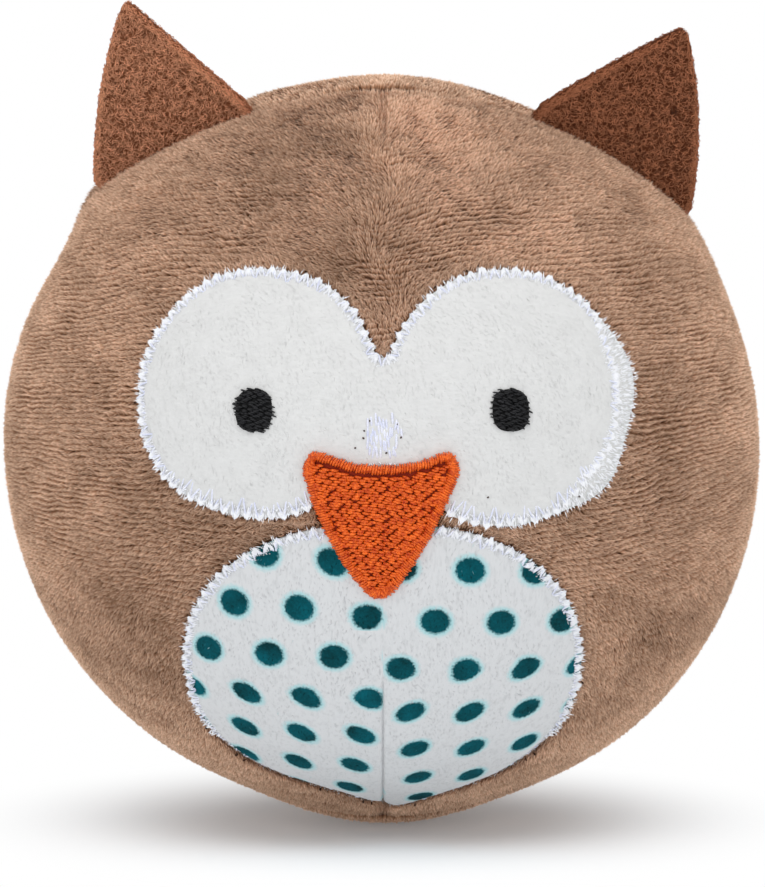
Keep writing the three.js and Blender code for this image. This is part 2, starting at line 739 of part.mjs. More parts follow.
function backStuffing() {
  const pocket = new THREE.CylinderGeometry(
    WHISTLE_FLANGE_RADIUS + LAYER_GAP, WHISTLE_FLANGE_RADIUS + LAYER_GAP,
    2 * (BULB_HALF_DEPTH + WHISTLE_FLANGE_THICKNESS + 2 * LAYER_GAP), WHISTLE_SIDES,
  );
  return cutBy(stuffingHalf(BACK, BACK_DARTS), [pocket]);
}

// Squeaker, turned about the Y axis with the whistle at its back

const COLLAR_RADIUS = WHISTLE_RADIUS + LAYER_GAP;
const COLLAR_LENGTH = 3;
const BORE_RADIUS = WHISTLE_RADIUS - WHISTLE_WALL;

function bulbArc(radius, depth, mouth) {
  const last = Math.asin(mouth / radius);
  return Array.from({ length: BULB_STEPS + 1 }, (_, i) => {
    const angle = Math.PI - ((Math.PI - last) * i) / BULB_STEPS;
    return new THREE.Vector2(i === 0 ? 0 : radius * Math.sin(angle), depth * Math.cos(angle));
  });
}

function squeakerBulb() {
  const outer = bulbArc(BULB_RADIUS, BULB_HALF_DEPTH, COLLAR_RADIUS);
  const inner = bulbArc(BULB_RADIUS - BULB_WALL, BULB_HALF_DEPTH - BULB_WALL, COLLAR_RADIUS + BULB_WALL);
  const collarEnd = outer[outer.length - 1].y - COLLAR_LENGTH;
  const collar = [new THREE.Vector2(COLLAR_RADIUS, collarEnd), new THREE.Vector2(COLLAR_RADIUS + BULB_WALL, collarEnd)];
  return new THREE.LatheGeometry([...outer, ...collar, ...inner.reverse()], BULB_SIDES);
}

// The whistle's tube with the flange that stops it at the bulb's mouth
function whistleBody() {
  const seat = BULB_HALF_DEPTH + LAYER_GAP;
  const end = seat + WHISTLE_FLANGE_THICKNESS;
  const profile = [
    [BORE_RADIUS, end], [BORE_RADIUS, end - WHISTLE_LENGTH], [WHISTLE_RADIUS, end - WHISTLE_LENGTH],
    [WHISTLE_RADIUS, seat], [WHISTLE_FLANGE_RADIUS, seat], [WHISTLE_FLANGE_RADIUS, end], [BORE_RADIUS, end],
  ];
  return new THREE.LatheGeometry(profile.map(([r, y]) => new THREE.Vector2(r, y)), WHISTLE_SIDES);
}

const PLATE_END = BULB_HALF_DEPTH + LAYER_GAP + WHISTLE_FLANGE_THICKNESS;
const PLATE_LENGTH = REED_LENGTH + REED_CLAMP_LENGTH;
const REED_HEIGHT = LAYER_GAP + REED_THICKNESS / 2;

// A half-round plug with a slot under the reed and a clamp over the reed's root
function reedPlate() {
  const radius = BORE_RADIUS - LAYER_GAP;
  const profile = new THREE.Shape();
  profile.absarc(0, 0, radius, Math.PI, 2 * Math.PI, false);
  const plug = new THREE.ExtrudeGeometry(profile, { depth: PLATE_LENGTH, bevelEnabled: false, curveSegments: PLUG_STEPS });
  const slot = new THREE.BoxGeometry(REED_SLOT_WIDTH, 2 * REED_SLOT_DEPTH, PLATE_LENGTH);
  slot.translate(0, 0, PLATE_LENGTH / 2 + REED_CLAMP_LENGTH);
  const room = 2 * LAYER_GAP + REED_THICKNESS;
  const clampProfile = new THREE.Shape();
  const clampAngle = Math.asin(room / radius);
  clampProfile.absarc(0, 0, radius, clampAngle, Math.PI - clampAngle, false);
  const clampSettings = { depth: REED_CLAMP_LENGTH, bevelEnabled: false, curveSegments: CLAMP_STEPS };
  const clamp = new THREE.ExtrudeGeometry(clampProfile, clampSettings);
  const side = (radius - REED_WIDTH / 2 - LAYER_GAP) / 2;
  const posts = [-1, 1].map((sign) => {
    const post = new THREE.BoxGeometry(side, 2 * room, REED_CLAMP_LENGTH);
    return post.translate(sign * (REED_WIDTH / 2 + LAYER_GAP + side / 2), room / 2, REED_CLAMP_LENGTH / 2);
  });
  return joined(cutBy(plug, [slot]), [clamp, ...posts]);
}

function reed() {
  const strip = new THREE.BoxGeometry(REED_WIDTH, REED_THICKNESS, REED_LENGTH);
  return strip.translate(0, REED_HEIGHT, REED_LENGTH / 2 + LAYER_GAP);
}

// Materials

function cloth(colour) {
  return new THREE.MeshStandardMaterial({ color: colour, roughness: 0.95, metalness: 0 });
}

function plastic(colour) {
  return new THREE.MeshStandardMaterial({ color: colour, roughness: 0.4, metalness: 0 });
}

const BROWN_PLUSH = cloth('#a88269');
const WHITE_PLUSH = cloth('#dfdfde');
const DOTTED_CLOTH = cloth('#d8d9d9');
const WHITE_THREAD = cloth('#cbced4');
const BLACK_THREAD = cloth('#212123');
const ORANGE_THREAD = cloth('#c8501d');
const BROWN_THREAD = cloth('#8a6a54');
const LIGHT_FELT = cloth('#8b5c46');
const DARK_FELT = cloth('#673f2b');
const FIBRE = cloth('#ececea');
const BACKING = cloth('#e6e4de');
const CLEAR_PLASTIC = plastic('#d9dde0');
const HARD_PLASTIC = plastic('#e9e9e6');

// Assembly

const toy = new THREE.Group();
const ball = new THREE.Group();
ball.position.z = CENTRE_HEIGHT;
toy.add(ball);

function addPiece(parent, name, geometry, material) {
  const mesh = new THREE.Mesh(geometry, material);
  mesh.name = name;
  parent.add(mesh);
  return mesh;
}

addPiece(ball, 'front_panel', frontPanel(), BROWN_PLUSH);
addPiece(ball, 'back_panel', backPanel(), BROWN_PLUSH);
addPiece(ball, 'side_seam_thread', seamThread(), BROWN_THREAD);
addPiece(ball, 'face_mask', faceMask(), WHITE_PLUSH);
addPiece(ball, 'face_mask_stitching', stitches(maskOutline(0)), WHITE_THREAD);
addPiece(ball, 'mask_bridge_stitching', bridgePad(0), WHITE_THREAD);
addPiece(ball, 'belly_patch', bellyPatch(), DOTTED_CLOTH);
addPiece(ball, 'belly_patch_stitching', stitches(bellyOutline(0)), WHITE_THREAD);
addPiece(ball, 'left_pupil_embroidery', pupilPad(-1, 0), BLACK_THREAD);
addPiece(ball, 'right_pupil_embroidery', pupilPad(1, 0), BLACK_THREAD);
addPiece(ball, 'beak_fill_embroidery', beakFill(), ORANGE_THREAD);
addPiece(ball, 'beak_border_embroidery', beakBorder(), ORANGE_THREAD);
addPiece(ball, 'embroidery_backing', embroideryBacking(0), BACKING);
addPiece(ball, 'left_ear', ear(LEFT_EAR_ANGLE, -1), LIGHT_FELT);
addPiece(ball, 'right_ear', ear(RIGHT_EAR_ANGLE, 1), DARK_FELT);
addPiece(ball, 'front_stuffing', frontStuffing(), FIBRE);
addPiece(ball, 'back_stuffing', backStuffing(), FIBRE);

const squeaker = new THREE.Group();
ball.add(squeaker);
addPiece(squeaker, 'squeaker_bulb', squeakerBulb(), CLEAR_PLASTIC);
addPiece(squeaker, 'squeaker_whistle_body', whistleBody(), HARD_PLASTIC);

const whistle = new THREE.Group();
whistle.rotation.x = Math.PI / 2;
whistle.position.y = PLATE_END;
squeaker.add(whistle);
addPiece(whistle, 'squeaker_reed_plate', reedPlate(), HARD_PLASTIC);
addPiece(whistle, 'squeaker_reed', reed(), CLEAR_PLASTIC);

export default toy;
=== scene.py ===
"""Plush ball toy with an owl's face: cloth, pile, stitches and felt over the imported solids."""

import math

import bpy
import numpy as np
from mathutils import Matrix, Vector


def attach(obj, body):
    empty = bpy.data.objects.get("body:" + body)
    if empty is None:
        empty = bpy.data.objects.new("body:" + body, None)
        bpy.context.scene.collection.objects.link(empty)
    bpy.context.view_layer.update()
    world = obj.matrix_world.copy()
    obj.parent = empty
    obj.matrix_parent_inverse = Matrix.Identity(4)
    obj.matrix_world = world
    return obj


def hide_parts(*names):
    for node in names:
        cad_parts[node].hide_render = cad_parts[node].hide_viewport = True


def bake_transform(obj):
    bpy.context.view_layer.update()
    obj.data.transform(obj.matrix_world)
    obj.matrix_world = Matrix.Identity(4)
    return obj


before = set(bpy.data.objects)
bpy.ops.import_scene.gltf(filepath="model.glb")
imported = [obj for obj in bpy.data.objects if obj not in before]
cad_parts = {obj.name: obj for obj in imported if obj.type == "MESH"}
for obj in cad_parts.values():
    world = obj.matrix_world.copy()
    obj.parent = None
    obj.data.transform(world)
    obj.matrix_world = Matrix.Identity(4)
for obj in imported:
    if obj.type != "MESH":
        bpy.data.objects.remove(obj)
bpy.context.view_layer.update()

# Driving sizes in millimetres, the same as the part's source has
MM = 0.001
BALL_RADIUS = 50.0
FLOOR_FLAT = 0.5
BALL_CENTRE = np.array([0.0, 0.0, BALL_RADIUS - FLOOR_FLAT])
UP = np.array([0.0, 0.0, 1.0])

# The cloth's backing and its pile
CLOTH_THICKNESS = 2.6
PILE_HEIGHT = 1.15
PILE_FOOT = -PILE_HEIGHT

# The side seam, its mean and wave in degrees from the face's middle
SEAM_MEAN = 84.5
SEAM_WAVE = 9.0
SEAM_GAP = 0.3
SEAM_VALLEY_WIDTH = 3.0
SEAM_VALLEY_DEPTH = 1.4
SEAM_ALLOWANCE = 5.0
SEAM_THREAD_DEPTH = 3.2

# Gathered cloth at the top and the bottom
PUCKER_RING = 19.0
PUCKER_SPREAD = 12.0
TOP_PUCKER = 0.5
BOTTOM_PUCKER = 1.0

# The ears, their middles in degrees from straight up
EAR_BULGE = 1.3
EAR_BULGE_SPREAD = 9.0
EAR_HALF_SPAN = 12.0
LEFT_EAR_MIDDLE = -34.5
RIGHT_EAR_MIDDLE = 39.5
EAR_LENGTH = 19.3
EAR_TIP_LEAN = 6.8
EAR_TIP_SHARE = 0.08
EAR_THICKNESS = 1.8
EAR_CLEARANCE = 0.7
EAR_ROOT_SHARE = 0.22

# Where the filling swells or sinks: the direction, the rise and how far it spreads
STUFFED_UNEVENLY = [
    ((-0.61, 0.0, -0.79), -1.2, 22.0),
    ((-0.97, 0.0, 0.2), 0.6, 16.0),
    ((0.55, 0.0, -0.83), -0.5, 18.0),
    ((-0.75, 0.0, 0.66), 1.1, 5.5),
    ((-0.84, 0.0, 0.54), -1.0, 5.0),
    ((-0.34, 0.08, 0.94), 0.8, 6.5),
]

# Darts, their starts in degrees from the panel's pole
DART_HALF_WIDTH = 1.3
DART_DEPTH = 1.3
CREASE_DEPTH = 0.7
CREASE_HALF_WIDTH = 0.35
TOP_DART_START = 54.0
BOTTOM_DART_START = 31.5
SIDE_DART_START = 42.0
DART_FOLD_DEPTH = 4.0
DART_FOLD_THICKNESS = 2.4

# The mask
LOBE_RADIUS = 16.3
LOBE_OFFSET = 16.7
LOBE_HEIGHT = 10.7
NOTCH_TOP_RADIUS = 1.25
NOTCH_BOTTOM_RADIUS = 8.0
LOBE_SLACK = 1.1
SLACK_PLACE = 9.0
SLACK_SPREAD = 5.0

# The belly patch
BELLY_HALF_WIDTH = 27.6
BELLY_HEIGHT = -30.0
BELLY_REACH = 24.3
BELLY_DROP_LEFT = 21.5
BELLY_DROP_RIGHT = 24.3
BELLY_POINT_LEFT = 4.2
BELLY_POINT_RIGHT = 5.9
BELLY_POINT_SPREAD = 8.0
BELLY_POWER_ABOVE = 2.25
BELLY_POWER_LEFT = 2.2
BELLY_POWER_RIGHT = 2.0

# The printed dots: their lattice, the pull of the beak's stitches on it and its gathers at the dart
DOT_PITCH = 8.6
DOT_RADIUS = 1.85
DOT_FLATTENING = 1.12
BEAK_PULL = 0.9
BEAK_PULL_PLACE = -2.5
BEAK_PULL_SPREAD_SQUARED = 20.0
BEAK_PULL_DEPTH = 19.5
DART_GATHER = 0.5
GATHER_SLANT = 0.05
GATHERED_FROM_LEFT = 30.0
GATHERED_FROM_RIGHT = 26.5
ROW_HEIGHT_LEFT = 6.5
ROW_HEIGHT_RIGHT = 7.0
FIRST_ROW_LEFT = 10.3
FIRST_ROW_RIGHT = 10.9
FIRST_COLUMN = 2.3
ROW_TILT_LEFT = 0.06
ROW_TILT_RIGHT = 0.07
LEVEL_DEPTH = 20.0
LEVELLING = 12.0
LEVEL_LIMIT = -0.4

# The pupils and the stitches over the beak
PUPIL_RADIUS = 2.85
PUPIL_OFFSET = 16.1
PUPIL_HEIGHT = 8.4
PUPIL_SHIFT = -0.1
PUPIL_NARROWING = 0.9
PUPIL_POWER = 2.6
BRIDGE_HALF_WIDTH = 2.2
BRIDGE_HALF_HEIGHT = 2.7
BRIDGE_HEIGHT = 5.2

# The room for the squeaker's bulb, 19 mm in radius and 11.5 mm in half its depth
ROOM_RADIUS = 20.0
ROOM_HALF_DEPTH = 16.0

# The photograph's camera
CAMERA_DISTANCE = 600.0
CAMERA_ELEVATION = 4.0
PHOTO_WIDTH = 765
PHOTO_HEIGHT = 887
MM_PER_PIXEL = 0.1331
BALL_PIXEL = (383.0, 450.0)


# Numbers and vectors


def smooth(share):
    """The S-curve 3s^2 - 2s^3 of a share held between 0 and 1."""
    share = np.clip(share, 0.0, 1.0)
    return share * share * (3.0 - 2.0 * share)


def unit(vectors):
    """Vectors divided by their length."""
    return vectors / np.maximum(np.linalg.norm(vectors, axis=-1, keepdims=True), 1e-12)


def mix(low, high, share):
    """low where share is 0, high where it is 1."""
    return low + (high - low) * share


def pair(places):
    """The across and the up of flat places."""
    return places[..., 0], places[..., 1]


NOISE_SIDE = 128


def smooth_noise(across, up, cell, seed):
    """Noise from -1 to 1: random numbers on a grid of this cell, blended by the S-curve between corners."""
    table = np.random.default_rng(seed).uniform(-1.0, 1.0, (NOISE_SIDE, NOISE_SIDE))
    column = np.floor(across / cell).astype(int)
    row = np.floor(up / cell).astype(int)
    right = smooth(across / cell - column)
    above = smooth(up / cell - row)

    def corner(i, j):
        """The random number at a corner of each place's cell."""
        return table[(column + i) % NOISE_SIDE, (row + j) % NOISE_SIDE]

    below_row = mix(corner(0, 0), corner(1, 0), right)
    above_row = mix(corner(0, 1), corner(1, 1), right)
    return mix(below_row, above_row, above)


def noises(across, up, layers):
    """Sum of noises, each given by its strength, cell, seed and how many times closer its rows lie."""
    return sum(size * smooth_noise(across, up * closer, cell, seed) for size, cell, seed, closer in layers)


def bell(distance, spread):
    """exp(-(distance/spread)^2): 1 at no distance, 1/e at the spread."""
    return np.exp(-((distance / spread) ** 2))


def arc(start, bend, end, share):
    """(1-s)^2 start + 2s(1-s) bend + s^2 end: points at shares s along a quadratic curve."""
    return (1 - share) ** 2 * start + 2 * share * (1 - share) * bend + share**2 * end


def squarer(wave, power):
    """A sine or cosine with its size raised to 2/power, as a superellipse has it."""
    return np.sign(wave) * np.abs(wave) ** (2 / power)


# The ball's surface


def direction(polar, around):
    """Unit vector at an angle from the face's middle, turned round it from up to the viewer's right."""
    sine = np.sin(polar)
    return np.stack([sine * np.sin(around), -np.cos(polar), sine * np.cos(around)], axis=-1)


def seam_angle(around):
    """Polar angle of the side seam: its mean less a wave of twice the turn."""
    return np.radians(SEAM_MEAN - SEAM_WAVE * np.cos(2 * around))


def point_on_seam(degrees):
    """Direction of the seam at a turn in degrees from straight up."""
    around = np.radians(degrees)
    return direction(seam_angle(around), around)


EAR_ENDS = [point_on_seam(LEFT_EAR_MIDDLE - EAR_HALF_SPAN), point_on_seam(RIGHT_EAR_MIDDLE + EAR_HALF_SPAN)]


def arc_to(toward, pole):
    """Millimetres along the ball from each direction to a pole."""
    return np.arccos(np.clip(toward @ pole, -1.0, 1.0)) * BALL_RADIUS


def pucker(distance):
    """A ring of gathered cloth round a dart's end: a bell over the distance from the ring."""
    return bell(distance - PUCKER_RING, PUCKER_SPREAD)


def ball_radius(toward, height):
    """Radius at a height over the cloth: the ball less its puckers, with the bulges of ears and filling."""
    bulge = sum(EAR_BULGE * bell(arc_to(toward, end), EAR_BULGE_SPREAD) for end in EAR_ENDS)
    for spot, rise, spread in STUFFED_UNEVENLY:
        bulge = bulge + rise * bell(arc_to(toward, unit(np.array(spot))), spread)
    gathered = TOP_PUCKER * pucker(arc_to(toward, UP)) + BOTTOM_PUCKER * pucker(arc_to(toward, -UP))
    return BALL_RADIUS + height - gathered + bulge * np.clip(1 + height / CLOTH_THICKNESS, 0, 1)


class Panel:
    """Half of the ball laid flat round its pole: millimetres across, to the viewer's right, and up."""

    def __init__(self, side, darts):
        self.side = side
        self.darts = darts

    def toward(self, polar, around):
        """Unit vector at an angle from the panel's pole."""
        return direction(polar if self.side > 0 else np.pi - polar, around)

    def edge(self, around):
        """Millimetres of cloth from the pole to the seam."""
        polar = seam_angle(around)
        return BALL_RADIUS * (polar if self.side > 0 else np.pi - polar)

    def to_seam(self, across, up):
        """Millimetres of cloth between a place and the seam."""
        return self.edge(np.arctan2(across, up)) - np.hypot(across, up)

    def along_dart(self, dart, across, up):
        """Share of the way from a dart's start to the seam, and millimetres beside it."""
        turn, start = np.radians(dart)
        along = across * np.sin(turn) + up * np.cos(turn)
        beside = across * np.cos(turn) - up * np.sin(turn)
        start = start * BALL_RADIUS
        return np.clip((along - start) / (self.edge(turn) - start), 0, 1), beside

    def dip(self, across, up):
        """Depth of the darts' creases, each in a soft valley, and of the rounded shoulder beside the seam."""
        depth = 0.0
        for dart in self.darts:
            share, beside = self.along_dart(dart, across, up)
            crease = CREASE_DEPTH * np.sqrt(share) * bell(beside, CREASE_HALF_WIDTH)
            valley = (DART_DEPTH - CREASE_DEPTH) * share * bell(beside, DART_HALF_WIDTH)
            depth = depth + crease + valley
        rise = np.clip(self.to_seam(across, up) / SEAM_VALLEY_WIDTH, 0, 1)
        return depth + SEAM_VALLEY_DEPTH * (1 - np.sqrt(1 - (1 - rise) ** 2))

    def point(self, across, up, height):
        """Point on the ball over a place of the cloth, in the frame's millimetres, kept above the floor."""
        toward = self.toward(np.hypot(across, up) / BALL_RADIUS, np.arctan2(across, up))
        points = BALL_CENTRE + toward * ball_radius(toward, height - self.dip(across, up))[..., None]
        points[..., 2] = np.maximum(points[..., 2], 0.0)
        return points

    def outward(self, across, up):
        """Unit vector square to the surface at a place, from small steps over it."""
        step = 0.25
        right = unit(self.point(across + step, up, 0.0) - self.point(across - step, up, 0.0))
        above = self.point(across, up + step, 0.0) - self.point(across, up - step, 0.0)
        return unit(np.cross(right, above)) * self.side


FRONT = Panel(1, [(0.0, TOP_DART_START), (180.0, BOTTOM_DART_START)])
BACK = Panel(-1, [(90.0, SIDE_DART_START), (270.0, SIDE_DART_START)])


# Outlines on the flat front


def resample(points, step):
    """A closed line's points at an even step along it."""
    closed = np.vstack([points, points[:1]])
    length = np.concatenate([[0.0], np.cumsum(np.linalg.norm(np.diff(closed, axis=0), axis=1))])
    count = int(round(length[-1] / step))
    places = np.arange(count) * length[-1] / count
    return np.stack([np.interp(places, length, closed[:, i]) for i in (0, 1)], axis=1)


class Outline:
    """A closed line on the flat cloth, run counter-clockwise, with its outward direction at each point."""

    BATCH = 16000

    def __init__(self, points, step=0.25):
        self.points = resample(points, step)
        ahead = unit(np.roll(self.points, -1, axis=0) - np.roll(self.points, 1, axis=0))
        self.along = ahead
        self.outward = np.stack([ahead[:, 1], -ahead[:, 0]], axis=1)

    def distance(self, across, up):
        """Signed distance from the line, outside positive, and the number of its nearest point."""
        places = np.stack([np.ravel(across), np.ravel(up)], axis=1)
        nearest = np.empty(len(places), int)
        own = (self.points**2).sum(axis=1)
        for start in range(0, len(places), self.BATCH):
            part = slice(start, start + self.BATCH)
            nearest[part] = (own - 2 * places[part] @ self.points.T).argmin(axis=1)
        away = places - self.points[nearest]
        return np.linalg.norm(away, axis=1) * np.sign((away * self.outward[nearest]).sum(axis=1)), nearest

    def moved(self, outwards):
        """The line moved outwards by so many millimetres."""
        return Outline(self.points + self.outward * outwards)


def mask_half_edge(across, notch_radius, sign):
    """Height of the mask's upper or lower edge: a lobe's circle, joined to the other by a round notch."""
    beside = np.abs(across)
    lobe = np.sqrt(np.maximum(LOBE_RADIUS**2 - (beside - LOBE_OFFSET) ** 2, 0))
    middle = math.sqrt((LOBE_RADIUS + notch_radius) ** 2 - LOBE_OFFSET**2)
    joins_at = LOBE_OFFSET * notch_radius / (LOBE_RADIUS + notch_radius)
    notch = middle - np.sqrt(np.maximum(notch_radius**2 - across**2, 0))
    slack = LOBE_SLACK * bell(across - SLACK_PLACE, SLACK_SPREAD) * (sign < 0)
    return LOBE_HEIGHT + sign * (np.where(beside < joins_at, notch, lobe) + slack)


# How far the mask's cloth reaches outside its round lobes: bells of the turn round a lobe, each as its
# middle and spread in degrees and its millimetres
RIGHT_LOBE_MARGIN = [(8, 20, 1.35), (-43, 17, 1.3), (-94, 10, 0.5)]
LEFT_LOBE_CUT = [(112, 22, 0.35), (52, 16, 0.3), (-100, 28, -0.8)]


def lobe_turn(side, across, up):
    """Degrees round a lobe's middle, from the viewer's right."""
    return np.degrees(np.arctan2(up - LOBE_HEIGHT, across - side * LOBE_OFFSET))


def bells(turn, table):
    """Sum of millimetres times a bell of the turn, over a table."""
    return sum(size * bell(turn - middle, spread) for middle, spread, size in table)


def untrimmed(across, up):
    """How far the mask's cloth reaches beyond its stitches on the right lobe, beside it and below it."""
    return bells(lobe_turn(1, across, up), RIGHT_LOBE_MARGIN) * smooth((across - LOBE_OFFSET + 6) / 8)


def cut_uneven(across, up):
    """How far the left lobe is cut outside its round, above, or inside it, below."""
    return bells(lobe_turn(-1, across, up), LEFT_LOBE_CUT) * smooth(-across / 6)


def mask_outline():
    """Two discs joined by round notches: the lower edge to the right, the upper one back, and its cut."""
    across = (LOBE_OFFSET + LOBE_RADIUS) * -np.cos(np.linspace(0, np.pi, 800))
    lower = np.stack([across, mask_half_edge(across, NOTCH_BOTTOM_RADIUS, -1)], axis=1)
    upper = np.stack([across, mask_half_edge(across, NOTCH_TOP_RADIUS, 1)], axis=1)
    line = Outline(np.vstack([lower, upper[::-1][1:-1]]))
    across, up = pair(line.points)
    return Outline(line.points + line.outward * (untrimmed(across, up) + cut_uneven(across, up))[:, None])


def belly_outline():
    """A superellipse, squarer above, whose lower edge the dart draws down to a point."""
    turn = np.linspace(0, 2 * np.pi, 1200, endpoint=False)
    cosine, sine = np.cos(turn), np.sin(turn)
    to_right = 0.5 + 0.5 * np.tanh(BELLY_HALF_WIDTH * cosine / 3)
    power = np.where(sine > 0, BELLY_POWER_ABOVE, mix(BELLY_POWER_LEFT, BELLY_POWER_RIGHT, to_right))
    across = BELLY_HALF_WIDTH * squarer(cosine, power)
    drop = mix(BELLY_DROP_LEFT, BELLY_DROP_RIGHT, to_right)
    point = mix(BELLY_POINT_LEFT, BELLY_POINT_RIGHT, to_right) * bell(across, BELLY_POINT_SPREAD)
    above = np.abs(sine) ** (2 / power)
    up = BELLY_HEIGHT + np.where(sine > 0, BELLY_REACH * above, -(drop * above + point * above**4))
    return Outline(np.stack([across, up], axis=1))


# The beak's corners, each with the bend of the arc that follows it
BEAK_CORNERS = [
    ((-7.6, 3.3), (-9.8, 3.5)),
    ((-9.9, 0.6), (-7.2, -8.6)),
    ((-2.4, -14.1), (-0.45, -16.2)),
    ((1.5, -14.1), (5.9, -8.6)),
    ((9.4, 0.6), (9.5, 3.5)),
    ((7.3, 3.2), (-0.2, 0.0)),
]


def beak_outline():
    """A shield with a hollow top edge: one quadratic arc from each corner to the next, drawn by its bend."""
    share = np.linspace(0, 1, 60, endpoint=False)[:, None]
    corners = np.array(BEAK_CORNERS)
    ends = np.roll(corners[:, 0], -1, axis=0)
    return Outline(np.vstack([arc(start, bend, end, share) for (start, bend), end in zip(corners, ends)]))


def oval_outline(across, up, half_width, half_height, power=2.0):
    """An ellipse round a place, squarer with a higher power."""
    turn = np.linspace(0, 2 * np.pi, 400, endpoint=False)
    beside = half_width * squarer(np.cos(turn), power)
    above = half_height * squarer(np.sin(turn), power)
    return Outline(np.stack([across + beside, up + above], axis=1))


MASK = mask_outline()
BELLY = belly_outline()
BEAK = beak_outline()
PUPILS = [
    oval_outline(middle, PUPIL_HEIGHT, PUPIL_NARROWING * PUPIL_RADIUS, PUPIL_RADIUS, PUPIL_POWER)
    for middle in (PUPIL_SHIFT - PUPIL_OFFSET, PUPIL_SHIFT + PUPIL_OFFSET)
]
BRIDGE = oval_outline(0.0, BRIDGE_HEIGHT, BRIDGE_HALF_WIDTH, BRIDGE_HALF_HEIGHT)


# Materials


def colour(red, green, blue):
    """Linear colour of an 8-bit sRGB one."""
    parts = np.array([red, green, blue]) / 255.0
    linear = np.where(parts <= 0.04045, parts / 12.92, ((parts + 0.055) / 1.055) ** 2.4)
    return (*[float(part) for part in linear], 1.0)


class Value:
    """A shader socket that plain arithmetic can be done with."""

    def __init__(self, tree, socket):
        self.tree = tree
        self.socket = socket

    def maths(self, operation, *values):
        """The outcome of an operation of the maths node on some values."""
        node = self.tree.nodes.new("ShaderNodeMath")
        node.operation = operation
        for place, value in zip(node.inputs, values):
            feed(self.tree, place, value)
        return Value(self.tree, node.outputs[0])

    def __add__(self, other):
        return self.maths("ADD", self, other)

    def __sub__(self, other):
        return self.maths("SUBTRACT", self, other)

    def __rsub__(self, other):
        return self.maths("SUBTRACT", other, self)

    def __mul__(self, other):
        return self.maths("MULTIPLY", self, other)

    def __truediv__(self, other):
        return self.maths("DIVIDE", self, other)

    __radd__ = __add__
    __rmul__ = __mul__


def feed(tree, place, value):
    """Links a Value to a socket, or sets the socket to a plain one."""
    if isinstance(value, Value):
        tree.links.new(value.socket, place)
    else:
        place.default_value = value


class Finish:
    """A material being built: a Principled shader and the nodes before it."""

    def __init__(self, name, **shader):
        self.material = bpy.data.materials.new(name)
        self.material.use_nodes = True
        self.tree = self.material.node_tree
        self.shader = self.tree.nodes["Principled BSDF"]
        self.set(**shader)

    def set(self, **sockets):
        """Sets or links the shader's sockets, by name with underscores for spaces."""
        for name, value in sockets.items():
            feed(self.tree, self.shader.inputs[name.replace("_", " ")], value)

    def node(self, kind, settings=(), outlet=0, **values):
        """Adds a node: its settings first, then its sockets by name or by place, as in_0."""
        node = self.tree.nodes.new("ShaderNode" + kind)
        for name, setting in dict(settings).items():
            if name == "stops":
                set_stops(node.color_ramp, setting)
            else:
                setattr(node, name, setting)
        for name, value in values.items():
            place = int(name[3:]) if name.startswith("in_") else name.replace("_", " ")
            feed(self.tree, node.inputs[place], value)
        return Value(self.tree, node.outputs[outlet])

    def place(self):
        """Object coordinates, in metres."""
        return self.node("TexCoord", outlet="Object")

    def stretched(self, scale, tilt=0.0):
        """Object coordinates, tilted about the line of sight by degrees, and scaled."""
        return self.node("Mapping", Vector=self.place(), Rotation=(0.0, math.radians(tilt), 0.0), Scale=scale)

    def noise(self, size, detail=3.0, roughness=0.55, vector=None):
        """Noise from 0 to 1 whose lumps are about this many millimetres apart."""
        facts = {"Scale": 1.0 / (size * MM), "Detail": detail, "Roughness": roughness}
        return self.node("TexNoise", Vector=vector or self.place(), **facts)

    def ramp(self, value, stops):
        """Colours by value, through these stops."""
        return self.node("ValToRGB", {"stops": stops}, Fac=value)

    def blend(self, low, high, share, kind="MIX"):
        """Mixes two colours."""
        settings = {"data_type": "RGBA", "blend_type": kind}
        return self.node("Mix", settings, outlet=2, in_0=share, in_6=low, in_7=high)

    def bump(self, height, depth):
        """A normal from a height of 0 to 1, this many millimetres deep."""
        return self.node("Bump", Height=height, Distance=depth * MM, Strength=1.0)

    def fade(self, value, start, end):
        """0 to 1 by the S-curve as a value goes from start to end."""
        return self.node("MapRange", {"interpolation_type": "SMOOTHSTEP"}, Value=value, in_1=start, in_2=end)

    def parts(self, vector):
        """The three parts of a vector."""
        node = self.tree.nodes.new("ShaderNodeSeparateXYZ")
        feed(self.tree, node.inputs[0], vector)
        return [Value(self.tree, part) for part in node.outputs]

    def strand_map(self):
        """The two readings of a strand's own map: its shade, and the share of the way to its tip."""
        return self.parts(self.node("UVMap", {"uv_map": STRAND_MAP}))[:2]


def set_stops(ramp, stops):
    """Gives a colour ramp these (place, colour) stops."""
    while len(ramp.elements) < len(stops):
        ramp.elements.new(0.5)
    for element, (place, paint) in zip(ramp.elements, stops):
        element.position = place
        element.color = paint


PRINT_WHITE_DARK = colour(199, 200, 201)
PRINT_WHITE = colour(210, 211, 212)
PRINT_HALO = colour(160, 206, 210)
PRINT_TEAL = colour(0, 93, 105)
PRINT_DARK = colour(0, 48, 52)

STRAND_MAP = "OFBake"
BEND_SHARE = 0.55


def strand_finish(name, foot, body, tip, spread, warmth=0.0, **shader):
    """Pile or fibre, with painted shade at its foot, deep in the pile, and painted light at its tip; a
    strand's shade makes it darker or lighter.
    """
    finish = Finish(name, **shader)
    shade, along = finish.strand_map()
    # painted light along each strand: shade at the foot, light at the tip
    base = finish.ramp(along, [(0.0, foot), (0.5, body), (1.0, tip)])
    low = (1 - spread, (1 - spread) * (1 - warmth), (1 - spread) * (1 - 2 * warmth), 1.0)
    high = (1 + spread, (1 + spread) * (1 + warmth), (1 + spread) * (1 + 2 * warmth), 1.0)
    finish.set(Base_Color=finish.blend(base, finish.ramp(shade, [(0.0, low), (1.0, high)]), 1.0, "MULTIPLY"))
    return finish.material


